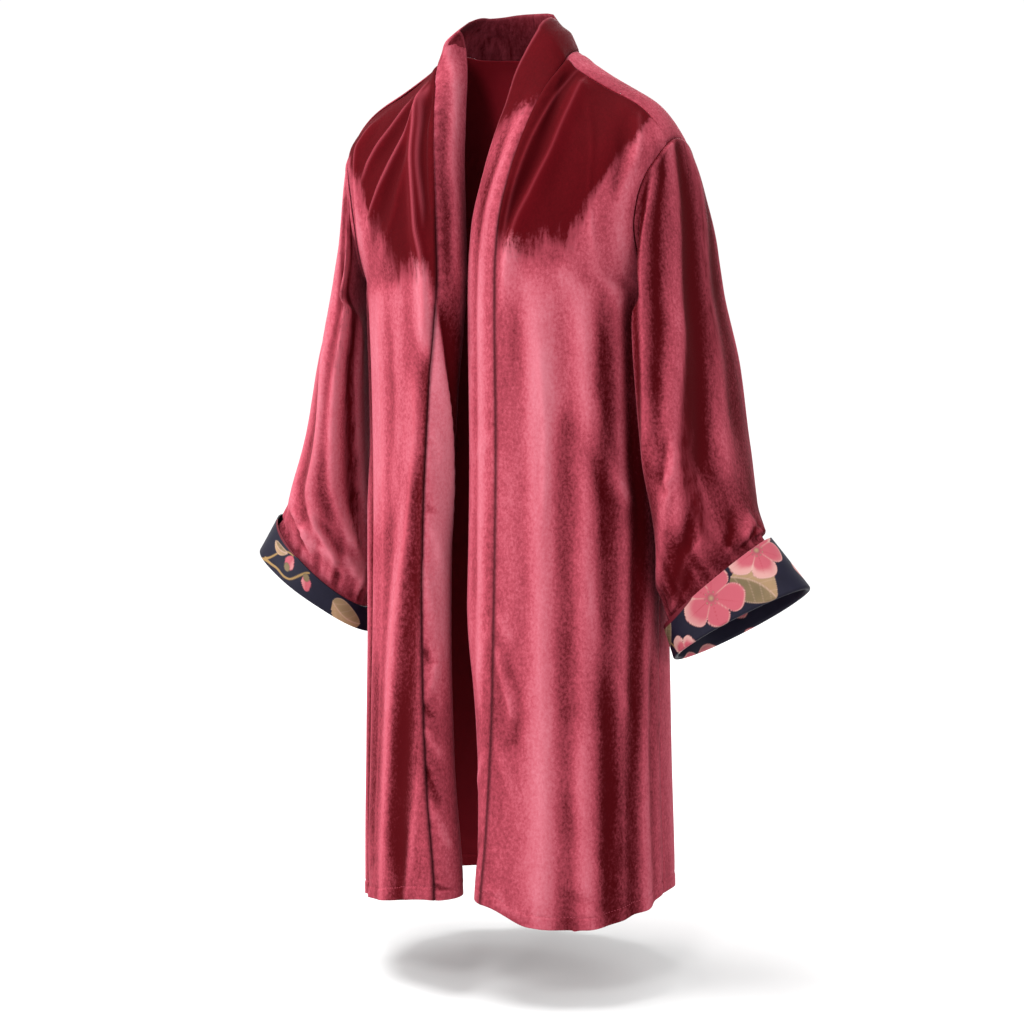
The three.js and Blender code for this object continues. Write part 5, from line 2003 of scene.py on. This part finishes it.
# Places are across and along the cuff, in mm. A Strip's two are both across it.
CUFF_PRINTS = {
    "left": (
        Twig(((196, 8), (226, 40), (262, 30), (300, 50)), 3.0),
        Twig(((150, 62), (172, 34), (196, 8)), 2.8),
        Leaf((70, 10), 52, 48, 116, 0.45),
        Leaf((196, 20), 38, 24, -150, 0.3),
        Leaf((330, 16), 44, 34, 40, 0.5),
        Blossom((30, 4), 33, 0.7, pale=0.7),
        Blossom((101, 14), 35, 2.0, pale=0.3),
        Blossom((112, 74), 24, 1.1, pale=0.9),
        Blossom((162, 42), 21, 4.0, pale=0.9),
        Blossom((250, 22), 38, 1.2, pale=0.4),
        Blossom((388, 44), 30, 3.0, pale=0.6),
        Blossom((52, 108), 32, 2.6, pale=0.3),
        Blossom((300, 104), 30, 0.4, pale=0.5),
        Bud((214, 56), 6.0, 60),
        Bud((306, 58), 6.5, 30),
        Strip((118, 208), 4.5),
    ),
    "right": (
        Twig(((30, 46), (58, 34), (90, 28), (114, 2)), 3.2),
        Twig(((44, 38), (66, 12), (84, 2)), 2.4),
        Twig(((240, 34), (290, 20), (350, 36)), 3.0),
        Leaf((150, 12), 40, 34, 12, 0.85),
        Leaf((48, 12), 28, 11, -12, 0.5),
        Leaf((300, 24), 46, 34, 40, 0.5),
        Blossom((250, 26), 31, 0.9, pale=0.5),
        Blossom((352, 30), 28, 2.2, pale=0.7),
        Blossom((210, 100), 28, 1.7, pale=0.4),
        Bud((83, 13), 7.5, -80),
        Bud((113, 15), 7.0, 70),
        Bud((214, 18), 7.0, 20),
        Strip((20, 90), 3.0),
    ),
}


@dataclass(frozen=True)
class Lamp:
    """A square soft light that faces the robe. Its place and size are in metres and its power in watts."""

    name: str
    at: tuple[float, float, float]
    size: float
    power: float
    aim: tuple[float, float, float] = (0.0, 0.0, -0.5)

    def hang(self) -> None:
        """Adds it to the scene."""
        data = bpy.data.lights.new(self.name, "AREA")
        data.shape = "SQUARE"
        data.size = self.size
        data.energy = self.power
        made = placed(self.name, data)
        made.location = self.at
        x, y, z = np.array(self.aim) - np.array(self.at)
        made.rotation_euler = (math.atan2(math.hypot(x, y), -z), 0.0, math.atan2(y, x) - math.pi / 2)


@dataclass(frozen=True)
class Studio:
    """A plain pale room: floor, soft lights and the camera."""

    azimuth: float = 24.0  # of the camera round the robe, from straight in front
    pitch: float = 6.07  # downward
    distance: float = 2410.0
    height: float = -248.0
    aside: float = -2.0
    lens: float = 77.0
    sensor: float = 36.0
    view_end: float = 100.0  # in metres
    floor_z: float = -1019.0
    floor_half: float = 12.0  # in metres
    pale: Colour = (0.52, 0.52, 0.52)
    dull: Colour = (0.505, 0.505, 0.505)
    air_strength: float = 1.03
    sun_tilt: float = 13.0  # to the left of the camera's view
    sun_spread: float = 26.0
    sun_strength: float = 3.4  # in watts a square metre
    lamps: tuple[Lamp, ...] = (
        Lamp("key", (-2.1, -2.1, 0.2), 1.5, 100.0),
        Lamp("front", (0.4, -2.4, 1.7), 0.7, 34.0),
        Lamp("right", (2.4, -1.4, 0.3), 1.0, 20.0),
        Lamp("rear", (-0.4, 2.4, 0.9), 1.4, 40.0),
    )

    def camera(self) -> None:
        """Places the camera."""
        turn = math.radians(self.azimuth)
        data = bpy.data.cameras.new("camera")
        data.lens = self.lens
        data.sensor_width = self.sensor
        data.clip_end = self.view_end
        made = placed("camera", data)
        x = self.distance * math.sin(turn) + self.aside * math.cos(turn)
        y = -self.distance * math.cos(turn) + self.aside * math.sin(turn)
        made.location = (x * MM, y * MM, self.height * MM)
        made.rotation_euler = (math.radians(90.0 - self.pitch), 0.0, turn)
        bpy.context.scene.camera = made

    def floor(self) -> None:
        """Lays the pale floor."""
        mesh = bpy.data.meshes.new("floor")
        half, z = self.floor_half, self.floor_z * MM
        corners = [(-half, -half, z), (half, -half, z), (half, half, z), (-half, half, z)]
        mesh.from_pydata(corners, [], [(0, 1, 2, 3)])
        shader = Shader("floor")
        tone = shader.noise((2, 2, 2), 2.0, 0.5)
        shader.feed(shader.surface.inputs["Base Color"], shader.blend(tone * 0.2, self.pale, self.dull))
        shader.constants(Roughness=0.9, Specular_IOR_Level=0.1)
        mesh.materials.append(shader.material)
        placed("floor", mesh)

    def sun(self) -> None:
        """Adds soft light from overhead."""
        data = bpy.data.lights.new("overhead", "SUN")
        data.energy = self.sun_strength
        data.angle = math.radians(self.sun_spread)
        made = placed("overhead", data)
        made.rotation_euler = (0.0, -math.radians(self.sun_tilt), math.radians(self.azimuth))

    def air(self) -> None:
        """Fills the room with even white light."""
        world = bpy.data.worlds.new("air")
        world.use_nodes = True
        back = world.node_tree.nodes["Background"]
        back.inputs["Color"].default_value = (1.0, 1.0, 1.0, 1.0)
        back.inputs["Strength"].default_value = self.air_strength
        bpy.context.scene.world = world

    def build(self) -> None:
        """Sets the whole room up."""
        self.camera()
        self.floor()
        self.air()
        self.sun()
        for lamp in self.lamps:
            lamp.hang()
        view = bpy.context.scene.view_settings
        view.view_transform = "Standard"
        view.look = "None"


@dataclass(frozen=True)
class Cut:
    """How one piece of cloth was cut and is held, its flat size in metres and its area in square metres.

    A name that it rests on ends in the piece's own side where that makes a node's name.
    """

    node: str
    slot: str
    flat: tuple[float, float]
    area: float
    held: str
    rests_on: tuple[str, ...]


CUTS = {
    "velvet_front": Cut("front", "velvet", (0.27, 0.96), 0.19, "hung", ("back",)),
    "velvet_back": Cut("back", "velvet", (0.62, 1.0), 0.52, "hung", ("neckband_left", "neckband_right")),
    "velvet_neckband": Cut("neckband", "velvet", (0.055, 1.06), 0.055, "hung", ("back",)),
    "velvet_sleeve": Cut("sleeve", "velvet", (0.42, 0.56), 0.21, "gathered", ("front", "back")),
    "printed_cuff": Cut("cuff", "cuff_print", (0.43, 0.075), 0.027, "folded", ("sleeve",)),
}


def dress(cloth: Cloth, finishes: dict[str, bpy.types.Material], side: Optional[Side]) -> None:
    """Makes one piece and joins it to the frame.

    Args:
        cloth: Its shell.
        finishes: The materials, by slot.
        side: The wearer's left or right, or None for the back.
    """
    ending = f"_{side.name}" if side else ""
    cut = CUTS[cloth.name.removesuffix(ending)]
    made = cloth.piece(finishes[cut.slot])
    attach(made, "root")
    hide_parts(cut.node + ending)
    names = [name if name == "back" or "_" in name else name + ending for name in cut.rests_on]
    LOG.info("%s: %d faces, stands for %s", made.name, len(made.data.polygons), cut.node + ending)


def main() -> None:
    """Builds the room and the robe, piece by piece."""
    logging.basicConfig(level=logging.INFO, format="%(name)s: %(message)s")
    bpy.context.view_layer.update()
    Studio().build()
    finishes = {"velvet": Velvet().material(), "cuff_print": Print().material()}
    bodice, sleeves = Bodice(), Sleeves()
    dress(bodice.back(), finishes, None)
    for side in (LEFT, RIGHT):
        for cloth in (bodice.front(side), bodice.band(side), sleeves.sleeve(side), sleeves.cuff(side)):
            dress(cloth, finishes, side)


if __name__ == "__main__":
    main()
